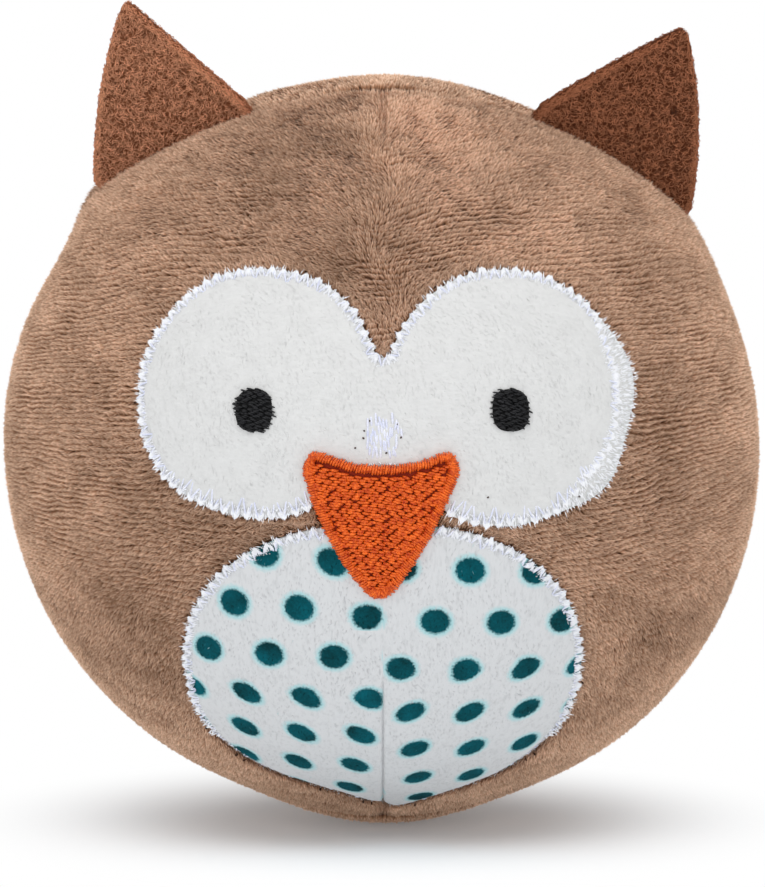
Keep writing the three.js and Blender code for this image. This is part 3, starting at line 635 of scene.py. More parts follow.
def brown_pile_finish():
    """The brown plush's strands, with a soft sheen."""
    return strand_finish(
        "brown_pile",
        # foot: painted shade deep in the pile; tip: painted light on the pile's tips
        foot=colour(88, 50, 28),
        body=colour(171, 122, 90),
        tip=colour(234, 197, 167),
        spread=0.5,
        warmth=0.08,
        Roughness=0.85,
        Specular_IOR_Level=0.2,
        Sheen_Weight=0.3,
        Sheen_Roughness=0.4,
        Sheen_Tint=colour(222, 216, 208),
    )


def white_pile_finish():
    """The mask's short white strands."""
    return strand_finish(
        "white_pile",
        foot=colour(210, 210, 209),
        body=colour(213, 213, 212),
        tip=colour(216, 216, 215),
        spread=0.03,
        Roughness=0.85,
        Sheen_Weight=0.1,
    )


def edge_fibre_finish():
    """The fibres that the zigzag holds at a sewn edge: the white plush painted brighter than its cloth, as
    painted light.
    """
    return strand_finish(
        "lit_edge_fibre",
        foot=colour(233, 235, 241),
        body=colour(243, 244, 248),
        tip=colour(251, 251, 253),
        spread=0.04,
        Roughness=0.8,
        Specular_IOR_Level=0.2,
    )


def felt_fibre_finish(name, dark, light):
    """Matted felt fibres: painted shade at the foot, their middle halfway, painted light at the tip."""
    middle = tuple(float(part) for part in mix(np.array(dark), np.array(light), 0.5))
    return strand_finish(name, dark, middle, light, 0.75, Roughness=0.9, Specular_IOR_Level=0.1)


def dotted_pile_finish():
    """White silky pile whose shade runs from white through a light halo to the print's teal."""
    finish = Finish("dotted_pile", Roughness=0.8, Specular_IOR_Level=0.1)
    shade, along = finish.strand_map()
    places = (0.0, 0.3, 0.45, 0.62, 0.95)
    colours = (PRINT_WHITE_DARK, PRINT_WHITE, PRINT_HALO, PRINT_TEAL, PRINT_DARK)
    # painted shade: each strand darker at its foot
    root_shade = finish.ramp(along, [(0.0, (0.92, 0.92, 0.92, 1.0)), (1.0, (1.0, 1.0, 1.0, 1.0))])
    finish.set(Base_Color=finish.blend(finish.ramp(shade, list(zip(places, colours))), root_shade, 1.0, "MULTIPLY"))
    return finish.material


def panel_place(finish):
    """Millimetres across and up on the flat front cloth, from Object coordinates."""
    centre = tuple(float(part) * MM for part in BALL_CENTRE)
    away = finish.node("VectorMath", {"operation": "SUBTRACT"}, in_0=finish.place(), in_1=centre)
    x, y, z = finish.parts(finish.node("VectorMath", {"operation": "NORMALIZE"}, in_0=away))
    polar = y.maths("ARCCOSINE", y * -1.0)
    stretch = polar * BALL_RADIUS / x.maths("SQRT", x * x + z * z)
    return x * stretch, z * stretch


def dot_distance(across, up):
    """The shader's form of dot_print, from the same formula."""
    right = across.maths("GREATER_THAN", across, 0.0)
    depth = up * -1.0
    beside = across.maths("ABSOLUTE", across)
    gathered_from = GATHERED_FROM_LEFT + (GATHERED_FROM_RIGHT - GATHERED_FROM_LEFT) * right
    shift = across.maths("MAXIMUM", depth + GATHER_SLANT * beside - gathered_from, 0.0) * DART_GATHER
    printed = across + shift * (2.0 * right - 1.0)
    row_height = ROW_HEIGHT_LEFT + (ROW_HEIGHT_RIGHT - ROW_HEIGHT_LEFT) * right
    levelled = (LEVEL_DEPTH - depth) / LEVELLING
    levelled = across.maths("MINIMUM", across.maths("MAXIMUM", levelled, LEVEL_LIMIT), 1.0)
    tilt = ROW_TILT_LEFT * levelled * (1.0 - right) + ROW_TILT_RIGHT * right
    off_pull = across - BEAK_PULL_PLACE
    drawn = across.maths("EXPONENT", off_pull * off_pull / -BEAK_PULL_SPREAD_SQUARED) * BEAK_PULL
    drawn = drawn * (1.0 - right) * across.maths("LESS_THAN", depth, BEAK_PULL_DEPTH)
    first = FIRST_ROW_LEFT + right * (FIRST_ROW_RIGHT - FIRST_ROW_LEFT) + tilt * across + drawn
    row = (depth - first) / row_height
    number = across.maths("ROUND", row)
    column = (printed - FIRST_COLUMN) / DOT_PITCH - 0.5 * across.maths("FLOORED_MODULO", number, 2.0)
    aside = (column - across.maths("ROUND", column)) * DOT_PITCH
    above = (row - number) * row_height * DOT_FLATTENING
    return across.maths("SQRT", aside * aside + above * above)


def dotted_cloth_finish():
    """Silky white cloth with printed dots: feathered edges, a light halo and faint streaks."""
    finish = Finish("dotted_cloth", Roughness=0.85, Specular_IOR_Level=0.1)
    across, up = panel_place(finish)
    feather = finish.noise(0.3, detail=2.0)
    fade = finish.noise(5.0)
    streaks = finish.noise(0.5, detail=3.0, vector=finish.stretched((1.0, 1.0, 0.16)))
    away = dot_distance(across, up) + (feather - 0.5) * 0.7
    ink = finish.fade(away, DOT_RADIUS + 0.3, DOT_RADIUS - 0.2)
    halo = finish.fade(away, DOT_RADIUS + 1.0, DOT_RADIUS)
    ground = finish.ramp(streaks, [(0.3, PRINT_WHITE_DARK), (0.5, PRINT_WHITE)])
    haloed = finish.blend(ground, PRINT_HALO, halo)
    dye = finish.ramp(fade * 0.7 + feather * 0.3, [(0.35, PRINT_DARK), (0.7, PRINT_TEAL)])
    finish.set(Base_Color=finish.blend(haloed, dye, ink), Normal=finish.bump(streaks, 0.05))
    return finish.material


def white_cloth_finish():
    """Close white plush: soft lumps and a fine nap."""
    finish = Finish("white_cloth", Roughness=0.9, Sheen_Weight=0.05)
    lumps = finish.noise(2.2, detail=3.0)
    nap = finish.noise(0.4, detail=4.0, vector=finish.stretched((0.45, 1.0, 1.0), tilt=20))
    stops = [(0.3, colour(207, 207, 206)), (0.62, colour(216, 216, 215))]
    finish.set(Base_Color=finish.ramp(lumps * 0.4 + nap * 0.6, stops), Normal=finish.bump(nap, 0.05))
    return finish.material


def cloth_finish(name, dark, light, thread=0.35):
    """Knitted ground under a pile: small loops, darker between them as painted shade, with uneven dye."""
    finish = Finish(name, Roughness=0.95)
    loops = finish.node("TexVoronoi", Vector=finish.place(), Scale=1.0 / (thread * MM), outlet="Distance")
    patches = finish.noise(6.0)
    paint = finish.ramp(loops * 0.6 + patches * 0.5, [(0.2, light), (0.9, dark)])
    finish.set(Base_Color=paint, Normal=finish.bump(1 - loops, 0.12))
    return finish.material


def thread_finish(name, dark, light, rough, twist=0.16, lengths=1.6):
    """Thread of this roughness: fine filaments twisted round it, with painted highlights and shade along its
    way.
    """
    finish = Finish(name, Roughness=rough, Specular_IOR_Level=0.25)
    filaments = finish.noise(twist, detail=2.0)
    # painted highlights and shade on the filaments and along the thread
    uneven = filaments * 0.6 + finish.noise(lengths, detail=2.0) * 0.4
    paint = finish.ramp(uneven, [(0.34, dark), (0.64, light)])
    finish.set(Base_Color=paint, Normal=finish.bump(filaments, 0.05))
    return finish.material


def felt_finish(name, dark, light):
    """Pressed felt: matted fibres over soft lumps."""
    finish = Finish(name, Roughness=0.95, Specular_IOR_Level=0.1)
    lumps = finish.noise(1.8, detail=4.0)
    fibres = finish.noise(0.35, detail=4.0, vector=finish.stretched((0.35, 1.0, 1.0), tilt=40))
    paint = finish.ramp(lumps * 0.45 + fibres * 0.55, [(0.35, dark), (0.65, light)])
    finish.set(Base_Color=paint, Normal=finish.bump(fibres, 0.18))
    return finish.material


def loose_fibre_finish():
    """Crimped white stuffing fibre."""
    finish = Finish("stuffing_fibre", Roughness=0.7, Sheen_Weight=0.3)
    crimp = finish.noise(0.8, detail=6.0, roughness=0.7)
    paint = finish.ramp(crimp, [(0.3, colour(214, 214, 210)), (0.7, colour(244, 244, 240))])
    finish.set(Base_Color=paint, Normal=finish.bump(crimp, 0.5))
    return finish.material


def plastic_finish(name, light, dark, rough, clear=0.0):
    """Moulded plastic: faint flow marks and fine scuffs."""
    finish = Finish(name, Transmission_Weight=clear, IOR=1.5)
    flow = finish.noise(9.0, detail=2.0)
    scuffs = finish.noise(0.5, detail=5.0)
    finish.set(Base_Color=finish.ramp(flow, [(0.3, dark), (0.7, light)]))
    finish.set(Roughness=rough + 0.15 * scuffs, Normal=finish.bump(scuffs, 0.02))
    return finish.material


# Meshes


def new_piece(name, points, faces, finish, slot, body="ball", strand_map=None):
    """A mesh piece from points in millimetres and arrays of faces with equal corner counts."""
    mesh = bpy.data.meshes.new(name)
    points = np.ascontiguousarray(np.reshape(points, (-1, 3)) * MM, dtype=np.float32)
    corners = np.concatenate([np.ravel(group) for group in faces]).astype(np.int32)
    sizes = np.concatenate([np.full(len(group), group.shape[1]) for group in faces])
    starts = np.concatenate([[0], np.cumsum(sizes)[:-1]]).astype(np.int32)
    mesh.vertices.add(len(points))
    mesh.vertices.foreach_set("co", points.ravel())
    mesh.loops.add(len(corners))
    mesh.loops.foreach_set("vertex_index", corners)
    mesh.polygons.add(len(sizes))
    mesh.polygons.foreach_set("loop_start", starts)
    if strand_map is not None:
        layer = mesh.uv_layers.new(name=STRAND_MAP)
        layer.data.foreach_set("uv", np.reshape(strand_map, (-1, 2))[corners].astype(np.float32).ravel())
    mesh.update(calc_edges=True)
    mesh.validate()
    mesh.shade_smooth()
    mesh.materials.append(finish)
    piece = bpy.data.objects.new(name, mesh)
    bpy.context.scene.collection.objects.link(piece)
    if body:
        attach(piece, body)
    return piece


def ring_faces(rings, sides, first=0, flip=False):
    """Faces of closed rings in a row, with a pole point before the first and after the last."""
    ring = np.arange(rings - 1)[:, None]
    side = np.arange(sides)[None]
    after = (side + 1) % sides
    near, far = first + 1 + ring * sides, first + 1 + (ring + 1) * sides
    quads = np.stack([near + side, far + side, far + after, near + after], axis=-1).reshape(-1, 4)
    last = first + 1 + rings * sides
    side, after = side[0], after[0]
    start_cap = np.stack([np.full(sides, first), first + 1 + side, first + 1 + after], axis=-1)
    end_ring = last - sides
    end_cap = np.stack([np.full(sides, last), end_ring + after, end_ring + side], axis=-1)
    faces = [quads, np.vstack([start_cap, end_cap])]
    return [group[:, ::-1] for group in faces] if flip else faces


THREAD_SIDES = 6


def thread_rings(paths, outward, half_width, half_height):
    """Rings round many paths: ellipses square to them, as wide and as high as given at each step."""
    ahead = np.gradient(paths, axis=1)
    beside = unit(np.cross(ahead, outward))
    raised = unit(np.cross(beside, ahead))
    turn = np.linspace(0, 2 * np.pi, THREAD_SIDES, endpoint=False)
    wide = half_width[:, None, None] * np.cos(turn)[:, None]
    high = half_height[:, None, None] * np.sin(turn)[:, None]
    return paths[:, :, None] + beside[:, :, None] * wide + raised[:, :, None] * high


def threads(name, paths, outward, half_width, half_height, finish, slot):
    """Many short closed threads as one piece: rings along each path, and a pole at both its ends."""
    count, steps = paths.shape[:2]
    rings = thread_rings(paths, outward, half_width, half_height).reshape(count, -1, 3)
    points = np.concatenate([paths[:, :1], rings, paths[:, -1:]], axis=1)
    shift = (np.arange(count) * points.shape[1])[:, None, None]
    groups = ring_faces(steps, THREAD_SIDES, flip=True)
    faces = [(group[None] + shift).reshape(-1, group.shape[1]) for group in groups]
    return new_piece(name, points, faces, finish, slot)


# Half the width of a strand in its map, so that no strand's map is a single point
STRAND_BAND = 0.004


def blades(name, roots, bends, tips, beside, widths, shades, finish, slot, body="ball"):
    """Many fine strands as one piece: kites from root over widest place to tip, kept above the floor."""
    reach = beside * widths[:, None] / 2
    points = np.stack([roots, bends + reach, tips, bends - reach], axis=1)
    points[..., 2] = np.maximum(points[..., 2], 0.0)
    faces = np.arange(len(roots) * 4).reshape(-1, 4)
    shade = np.clip(shades, STRAND_BAND, 1 - STRAND_BAND)[:, None] + [0.0, STRAND_BAND, 0.0, -STRAND_BAND]
    along = np.broadcast_to([0.0, BEND_SHARE, 1.0, BEND_SHARE], shade.shape)
    strand_map = np.stack([shade, along], axis=-1)
    return new_piece(name, points, [faces], finish, slot, body, strand_map)


# Pile


def level(across, up):
    """0 everywhere."""
    return np.zeros_like(across)


# A strand's own length, rise and width, each a share of its pile's, drawn between two
STRAND_LENGTHS = (0.7, 1.25)
STRAND_RISES = (0.8, 1.08)
STRAND_WIDTHS = (0.75, 1.25)
# Where a strand bends, how high its root, its bend and its tip stand, and how far it rolls
STRAND_BEND = 0.45
STRAND_LEVELS = (0.15, 0.72, 1.0)
STRAND_ROLL = 0.35
STRAND_SHADES = 0.16
# How far a row draws its strands in, how much lower they are between two rows, and how much painted shade
# darkens them there
ROW_GATHER = 0.7
ROW_SINK = 0.6
ROW_PAINTED_SHADE = 0.3
# How much lower strands are off their clump's middle, and how much clumps differ in height and shade
CLUMP_SINK = 0.25
CLUMP_HEIGHTS = 0.1
CLUMP_SHADES = 0.1
CLUMP_JITTER = 0.45


class Comb:
    """How a pile lies: its lean and length, the rows of the knit that it gathers in, and its clumps."""

    def __init__(self, panel, seed, **facts):
        self.panel = panel
        self.seed = seed
        self.foot = facts["foot"]
        self.height = facts["height"]
        self.length = facts["length"]
        self.width = facts["width"]
        self.nap = facts["nap"]
        self.swing = facts["swing"]
        self.rows = facts["rows"]
        self.row_pitch = facts["row_pitch"]
        self.row_pull = facts["row_pull"]
        self.clump = facts["clump"]
        self.clump_pull = facts["clump_pull"]
        self.bridging = facts.get("bridging", 0.0)
        self.stretch = facts.get("stretch", level)

    def row_offset(self, across, up):
        """Signed distance to the nearest row's crest, and the direction across the rows."""
        step = 0.1
        here = self.rows(across, up)
        slope = np.stack([self.rows(across + step, up) - here, self.rows(across, up + step) - here], axis=1)
        phase = here / self.row_pitch
        return (phase - np.floor(phase) - 0.5) * self.row_pitch, unit(slope)

    def clump_middle(self, places, nap):
        """The nearest clump's middle, with lengths along the nap halved, its number and how far it is."""
        generator = np.random.default_rng(self.seed + 1)
        table = generator.uniform(-CLUMP_JITTER, CLUMP_JITTER, (NOISE_SIDE, NOISE_SIDE, 2))
        cell = np.floor(places / self.clump).astype(int)
        best = np.full(len(places), np.inf)
        middle = np.zeros_like(places)
        number = np.zeros(len(places), int)
        for step in np.ndindex(5, 5):
            here = cell + step - 2
            wrapped = here % NOISE_SIDE
            candidate = (here + 0.5 + table[wrapped[:, 0], wrapped[:, 1]]) * self.clump
            away = candidate - places
            along = (away * nap).sum(axis=1)
            beside = away[:, 0] * nap[:, 1] - away[:, 1] * nap[:, 0]
            far = (along * 0.5) ** 2 + beside**2
            nearer = far < best
            best = np.where(nearer, far, best)
            middle = np.where(nearer[:, None], candidate, middle)
            number = np.where(nearer, wrapped[:, 0] * NOISE_SIDE + wrapped[:, 1], number)
        return middle, number, np.sqrt(best) / self.clump

    def strands(self, roots):
        """Roots, bends, tips, side directions, widths and shades of strands that grow from flat places."""
        generator = np.random.default_rng(self.seed)
        count = len(roots)
        nap = turned(self.nap(*pair(roots)), generator.normal(0, self.swing, count))
        length = self.length * generator.uniform(*STRAND_LENGTHS, count)
        tips = roots + nap * (length * (1 + self.stretch(*pair(roots))))[:, None]
        middle, number, off_middle = self.clump_middle(tips, nap)
        tips = tips + (middle - tips) * self.clump_pull
        off_row, over = self.row_offset(*pair(tips))
        pull = self.row_pull(*pair(tips))
        tips = tips - over * (off_row * pull * ROW_GATHER)[:, None]
        valley = (2 * off_row / self.row_pitch) ** 4
        clump_level = np.random.default_rng(self.seed + 2).uniform(-1, 1, NOISE_SIDE**2)[number]
        sunk = ROW_SINK * pull * valley + CLUMP_SINK * np.clip(off_middle * 1.4, 0, 1) ** 2
        sunk = sunk - CLUMP_HEIGHTS * clump_level
        rise = self.height * (1 - sunk) * generator.uniform(*STRAND_RISES, count)
        bends = roots + (tips - roots) * STRAND_BEND
        layers = []
        for place, share in zip((roots, bends, tips), STRAND_LEVELS):
            bridged = self.bridging * share * self.panel.dip(*pair(place))
            layers.append(self.panel.point(*pair(place), self.foot + rise * share + bridged))
        outward = self.panel.outward(*pair(tips))
        beside = unit(np.cross(unit(layers[2] - layers[0]), outward))
        roll = generator.normal(0, STRAND_ROLL, count)[:, None]
        beside = beside * np.cos(roll) + outward * np.sin(roll)
        shades = 0.5 + CLUMP_SHADES * clump_level + generator.normal(0, STRAND_SHADES, count)
        # painted shade: strands in the valley between two rows are darker
        shades = shades - ROW_PAINTED_SHADE * pull * valley
        widths = self.width * generator.uniform(*STRAND_WIDTHS, count)
        return [*layers, beside, widths, shades]


def turned(vectors, angle):
    """Flat vectors turned by an angle."""
    cosine, sine = np.cos(angle), np.sin(angle)
    across, up = pair(vectors)
    return np.stack([across * cosine - up * sine, across * sine + up * cosine], axis=1)


def scatter(panel, per_mm2, inside, seed):
    """Places on a jittered grid over the flat panel, kept where inside and evenly dense on the ball."""
    spacing = 1 / math.sqrt(per_mm2)
    reach = BALL_RADIUS * np.radians(SEAM_MEAN + 2 * SEAM_WAVE)
    line = np.arange(-reach, reach, spacing)
    places = np.stack(np.meshgrid(line, line), axis=-1).reshape(-1, 2)
    generator = np.random.default_rng(seed)
    places = places + generator.uniform(-0.5, 0.5, places.shape) * spacing
    polar = np.hypot(*pair(places)) / BALL_RADIUS
    kept = generator.random(len(places)) < np.sin(polar) / np.maximum(polar, 1e-9)
    kept &= panel.to_seam(*pair(places)) > 0.1
    places = places[kept]
    return places[inside(*pair(places))]


# Noises, each as its strength, its cell, its seed and how many times closer its rows lie
FRONT_ROW_WAVES = [(1.0, 11.0, 11, 1.6), (0.3, 2.6, 12, 1.5)]
FRONT_SWIRLS = [(0.3, 5.0, 21, 1.0), (0.3, 1.5, 22, 1.0)]
FRONT_CREASES = [(0.9, 5.0, 31, 2.2), (0.6, 12.0, 32, 2.0)]
FRONT_SHADES = [(0.16, 8.0, 41, 1.3), (0.12, 2.6, 42, 1.8)]
BACK_ROW_WAVES = [(1.2, 11.0, 51, 1.6), (0.35, 3.2, 52, 1.5)]
BACK_SWIRLS = [(0.5, 7.0, 53, 1.0), (0.3, 2.0, 54, 1.0)]
BACK_CREASES = [(0.9, 4.0, 55, 2.5)]
BACK_SHADES = [(0.12, 8.0, 43, 1.0), (0.1, 2.6, 44, 1.0)]
PATCH_LUMPS = [(0.03, 2.2, 74, 1.0), (0.02, 0.8, 75, 1.0)]
EAR_LUMPS = [(0.1, 1.5, 81, 1.0), (0.06, 0.5, 82, 1.0)]
STUFFING_LUMPS = [(0.35, 5.0, 91, 1.0), (0.2, 2.0, 92, 1.0)]


def front_rows(across, up):
    """The knit's rows on the front: level on the left, rising outwards on the right, waved by noise."""
    shoulders = 2.2 * (1 - np.exp(-np.abs(across) / 9)) * smooth((up - 20) / 20)
    return up - 0.12 * np.maximum(across, 0) - shoulders + noises(across, up, FRONT_ROW_WAVES)


def along_rows(rows, across, up):
    """Unit vectors along the rows, pointing away from the middle."""
    step = 0.2
    slope_across = rows(across + step, up) - rows(across - step, up)
    slope_up = rows(across, up + step) - rows(across, up - step)
    vectors = unit(np.stack([slope_up, -slope_across], axis=1))
    outwards = np.tanh((across + 2.0 * smooth_noise(across, up, 6.0, 13)) / 3.0)
    upwards = np.stack([np.zeros_like(across), 0.8 * (1 - np.abs(outwards))], axis=1)
    return unit(vectors * outwards[:, None] + upwards)


def front_nap(across, up):
    """Direction of the front's pile: outwards along the rows, down on the flanks, square to sewn edges.

    Below the belly it lies back over the belly's foot, and beside the seam over the seam.
    """
    down = np.stack([0.25 * np.tanh(across / 12), -np.ones_like(across)], axis=1)
    nap = mix(along_rows(front_rows, across, up), down, smooth((-6 - up) / 20)[:, None])
    for outline in (MASK, BELLY):
        distance, nearest = outline.distance(across, up)
        away = outline.outward[nearest]
        if outline is BELLY:
            away = away * mix(1.0, -1.0, smooth((-away[:, 1] - 0.1) / 0.3))[:, None]
        nap = mix(nap, away, (0.85 * np.exp(-np.maximum(distance, 0) / 1.6))[:, None])
    nap = over_the_seam(FRONT, nap, across, up)
    return turned(unit(nap + 1e-6), noises(across, up, FRONT_SWIRLS))


SEAM_NAP_REACH = 2.2
SEAM_TUFT_REACH = 1.3


def over_the_seam(panel, nap, across, up):
    """A nap that turns towards the seam beside it, so that the pile lies over the seam."""
    near = 0.85 * bell(panel.to_seam(across, up), SEAM_NAP_REACH)
    away = unit(np.stack([across, up], axis=1) + 1e-6)
    return mix(nap, away, near[:, None])


def seam_tufts(panel, ears_only):
    """Extra length of the pile beside the seam, in tufts: all round, or at the ears and between them."""

    def stretch(across, up):
        """Share by which strands are longer at a place."""
        near = bell(panel.to_seam(across, up), SEAM_TUFT_REACH)
        turn = np.degrees(np.arctan2(across, up))
        middles = (LEFT_EAR_MIDDLE, 0.0, RIGHT_EAR_MIDDLE)
        at_ears = sum(np.exp(-(((turn - middle) / 13.0) ** 4)) for middle in middles)
        tufts = 0.4 + 0.9 * np.clip(smooth_noise(across, up, 1.7, 23), 0, 1)
        return near * tufts * (at_ears if ears_only else 0.5)

    return stretch


def front_row_pull(across, up):
    """How strongly the rows show: along the sides and in scattered creases, least at the rim."""
    creases = smooth(noises(across, up, FRONT_CREASES) + 0.25)
    side = 0.45 * smooth((np.abs(across + 2) - 14) / 10) * smooth((up + 30) / 12)
    low = smooth((up + 34) / 24)
    rim = smooth((FRONT.to_seam(across, up) - 2) / 12)
    return np.maximum(creases, side) * (0.2 + 0.8 * low) * (0.25 + 0.75 * rim)


# Each as a place across and up, how far it spreads, and how much lighter it is
TONE_SPOTS = [
    (7.0, 54.0, 8.0, 0.55),
    (7.0, 43.0, 8.0, 0.2),
    (-14.0, 57.0, 8.0, 0.06),
    (-7.0, 26.0, 7.0, -0.12),
    (22.0, 34.0, 12.0, 0.2),
    (-32.0, -24.0, 14.0, -0.14),
]


def brown_shade(across, up):
    """Large patches of lighter and darker pile at listed spots, and painted shade that darkens the front
    towards the bottom.
    """
    # painted shade: the pile darker towards the bottom of the front
    shade = noises(across, up, FRONT_SHADES) - 0.04 * smooth((-18 - up) / 25)
    for spot_across, spot_up, spread, lift in TONE_SPOTS:
        shade = shade + lift * bell(np.hypot(across - spot_across, up - spot_up), spread)
    return shade


def pile(name, comb, roots, shade, finish, slot):
    """A pile piece over flat places, its strands' shades lifted by a pattern over the cloth."""
    *shape, shades = comb.strands(roots)
    return blades(name, *shape, shades + shade(*pair(roots)), finish, slot)


FRONT_PILE_PER_MM2 = 40.0
BACK_PILE_PER_MM2 = 14.5
PILE_LENGTH = 0.85
FRONT_STRAND_WIDTH = 0.12
BACK_STRAND_WIDTH = 0.225
ROW_PITCH = 0.8
CLUMP = 0.55


def brown_pile(name, panel, per_mm2, inside, shade, finish, seed, count, **facts):
    """A panel's brown pile where inside, in this many pieces by turn round the panel."""
    comb = Comb(
        panel,
        seed,
        foot=PILE_FOOT,
        height=PILE_HEIGHT,
        row_pitch=ROW_PITCH,
        clump=CLUMP,
        clump_pull=0.25,
        **facts,
    )
    roots = scatter(panel, per_mm2, inside, seed + 1)
    turn = np.arctan2(roots[:, 1], roots[:, 0]) / (2 * np.pi) + 0.5
    sector = np.floor(turn * count).astype(int) % count
    for number in range(count):
        pile(f"{name}_{number + 1}", comb, roots[sector == number], shade, finish, "brown_plush")


def outside_patches(across, up):
    """True outside the mask, the belly and the beak."""
    return np.min([line.distance(across, up)[0] for line in (MASK, BELLY, BEAK)], axis=0) > 0.05


def front_pile(finish):
    """The front's brown pile outside the sewn patches."""
    brown_pile(
        "front_pile",
        FRONT,
        FRONT_PILE_PER_MM2,
        outside_patches,
        brown_shade,
        finish,
        seed=100,
        count=8,
        length=PILE_LENGTH,
        width=FRONT_STRAND_WIDTH,
        nap=front_nap,
        swing=0.42,
        rows=front_rows,
        row_pull=front_row_pull,
        bridging=0.85,
        stretch=seam_tufts(FRONT, True),
    )


def back_rows(across, up):
    """The knit's rows on the back: level, waved by noise."""
    return up + noises(across, up, BACK_ROW_WAVES)


def back_row_pull(across, up):
    """How strongly the rows show on the back: in scattered creases."""
    return 0.5 * smooth(noises(across, up, BACK_CREASES))


def back_nap(across, up):
    """Direction of the back's pile: down and outwards, more outwards above the middle, up at the foot."""
    leaning = 0.45 + 0.65 * smooth((up - 5) / 30) + 1.3 * smooth((up - 42) / 16)
    down = np.stack([leaning * np.tanh(across / 18), -np.ones_like(across)], axis=1)
    nap = unit(down)
    nap = mix(nap, over_the_seam(BACK, nap, across, up), smooth((60 - np.abs(up)) / 14)[:, None])
    nap = mix(nap, -down, smooth((-58 - up) / 10)[:, None])
    return turned(unit(nap), noises(across, up, BACK_SWIRLS))


def back_shade(across, up):
    """Patches of lighter and darker pile on the back, with painted light beside the seam at the top and
    bottom.
    """
    return noises(across, up, BACK_SHADES) + 0.05 * smooth((np.abs(up) - 44) / 24)


def everywhere(across, up):
    """True at all places."""
    return np.full(across.shape, True)


def back_pile(finish):
    """The back's brown pile."""
    brown_pile(
        "back_pile",
        BACK,
        BACK_PILE_PER_MM2,
        everywhere,
        back_shade,
        finish,
        seed=110,
        count=4,
        length=PILE_LENGTH * 1.2,
        width=BACK_STRAND_WIDTH,
        nap=back_nap,
        swing=0.4,
        rows=back_rows,
        row_pull=back_row_pull,
        bridging=1.0,
        stretch=seam_tufts(BACK, False),
    )


# Covers


COVER_SIDES = 240
COVER_RINGS = 110
LINING_RINGS = 50
# How far the turned-in edge's own edge lies from the seam, and the depths between which it turns
COVER_TUCK = 1.4
TURN_DEPTH = 2.6
TUCK_DEPTH = 3.4


def ring_point(panel, around, place, height):
    """A panel's points at a place along the cloth from its pole, at these turns round it."""
    return panel.point(place * np.sin(around), place * np.cos(around), height)


def cover_rings(panel):
    """A panel's closed skin round its pole: under the pile, round the turned-in edge, and back inside."""
    around = np.linspace(0, 2 * np.pi, COVER_SIDES, endpoint=False)
    edge = panel.edge(around) - SEAM_GAP / 2
    tucked = edge - COVER_TUCK
    shares = np.linspace(0.01, 1, COVER_RINGS)
    rings = [ring_point(panel, around, edge * share, PILE_FOOT) for share in shares]
    turned_in = [(TURN_DEPTH, edge), (SEAM_ALLOWANCE, edge), (SEAM_ALLOWANCE, tucked), (TUCK_DEPTH, tucked)]
    for depth, place in turned_in:
        flat_dip = panel.dip(place * np.sin(around), place * np.cos(around))
        rings.append(ring_point(panel, around, place, flat_dip - depth))
    for share in np.linspace(0.96, 0.02, LINING_RINGS):
        rings.append(ring_point(panel, around, tucked * share, -CLOTH_THICKNESS))
    return np.array(rings)


def dart_fold_rings(panel, dart):
    """The folded cloth behind a dart: a fin square to the cover, wider from the dart's start to the seam."""
    turn, start = np.radians(dart)
    along = np.linspace(start * BALL_RADIUS, panel.edge(turn) - 1.6, 24)
    corners = np.array([(-1, 0), (1, 0), (1, 0.6), (0.55, 1), (-0.55, 1), (-1, 0.6)])
    rings = []
    for place in along:
        share = (place - along[0]) / np.ptp(along)
        half = DART_FOLD_THICKNESS / 2 * (0.25 + 0.75 * share)
        beside = corners[:, 0] * half
        across = place * np.sin(turn) + beside * np.cos(turn)
        up = place * np.cos(turn) - beside * np.sin(turn)
        depth = CLOTH_THICKNESS - 0.5 + corners[:, 1] * DART_FOLD_DEPTH * (0.15 + 0.85 * share)
        rings.append(panel.point(across, up, panel.dip(across, up) - depth))
    return np.array(rings)


def merge_shells(shells):
    """Several closed shells, each (points, faces), as one list of points and faces."""
    points, quads, triangles, first = [], [], [], 0
    for shell_points, (shell_quads, shell_triangles) in shells:
        points.append(shell_points)
        quads.append(shell_quads + first)
        triangles.append(shell_triangles + first)
        first += len(shell_points)
    return np.vstack(points), [np.vstack(quads), np.vstack(triangles)]


def shell(rings, flip=False):
    """A closed shell of rings, with poles in the middles of the first and the last one."""
    points = np.vstack([rings[0].mean(axis=0), rings.reshape(-1, 3), rings[-1].mean(axis=0)])
    return points, ring_faces(len(rings), rings.shape[1], flip=flip)


def cover(name, node, panel, finish):
    """A panel of backing cloth with its turned-in edge and dart folds."""
    flip = panel.side < 0
    shells = [shell(cover_rings(panel), flip=not flip)]
    shells += [shell(dart_fold_rings(panel, dart), flip=flip) for dart in panel.darts]
    piece = new_piece(name, *merge_shells(shells), finish, "brown_plush")
    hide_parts(node)


# Sewn patches


def patch_rings(low_edge, high_edge, bottom, top, rows, relief):
    """A thin closed patch on the front: each column from its low to its high edge, and back underneath."""
    share = np.linspace(0, 1, rows)[:, None, None]
    column = mix(low_edge[None], high_edge[None], share)
    raised = top + relief(*pair(column))
    upper = FRONT.point(*pair(column), raised)
    under = FRONT.point(*pair(column), bottom)
    return np.concatenate([upper, under[::-1]], axis=0).transpose(1, 0, 2)


def column_edges(outline, count, closer):
    """The lower and upper edges of an outline at the same places across, closer together near the middle."""
    points = outline.points
    left, right = points[:, 0].argmin(), points[:, 0].argmax()
    lower = np.roll(points, -left, axis=0)[: (right - left) % len(points) + 1]
    upper = np.roll(points, -right, axis=0)[: (left - right) % len(points) + 1][::-1]
    step = np.sin(np.linspace(-1, 1, count) * math.radians(87))
    share = 0.5 + 0.5 * (closer * step + (1 - closer) * step**3)
    across = mix(points[left, 0], points[right, 0], share)
    edges = (np.interp(across, *pair(edge)) for edge in (lower, upper))
    return [np.stack([across, up], axis=1) for up in edges]


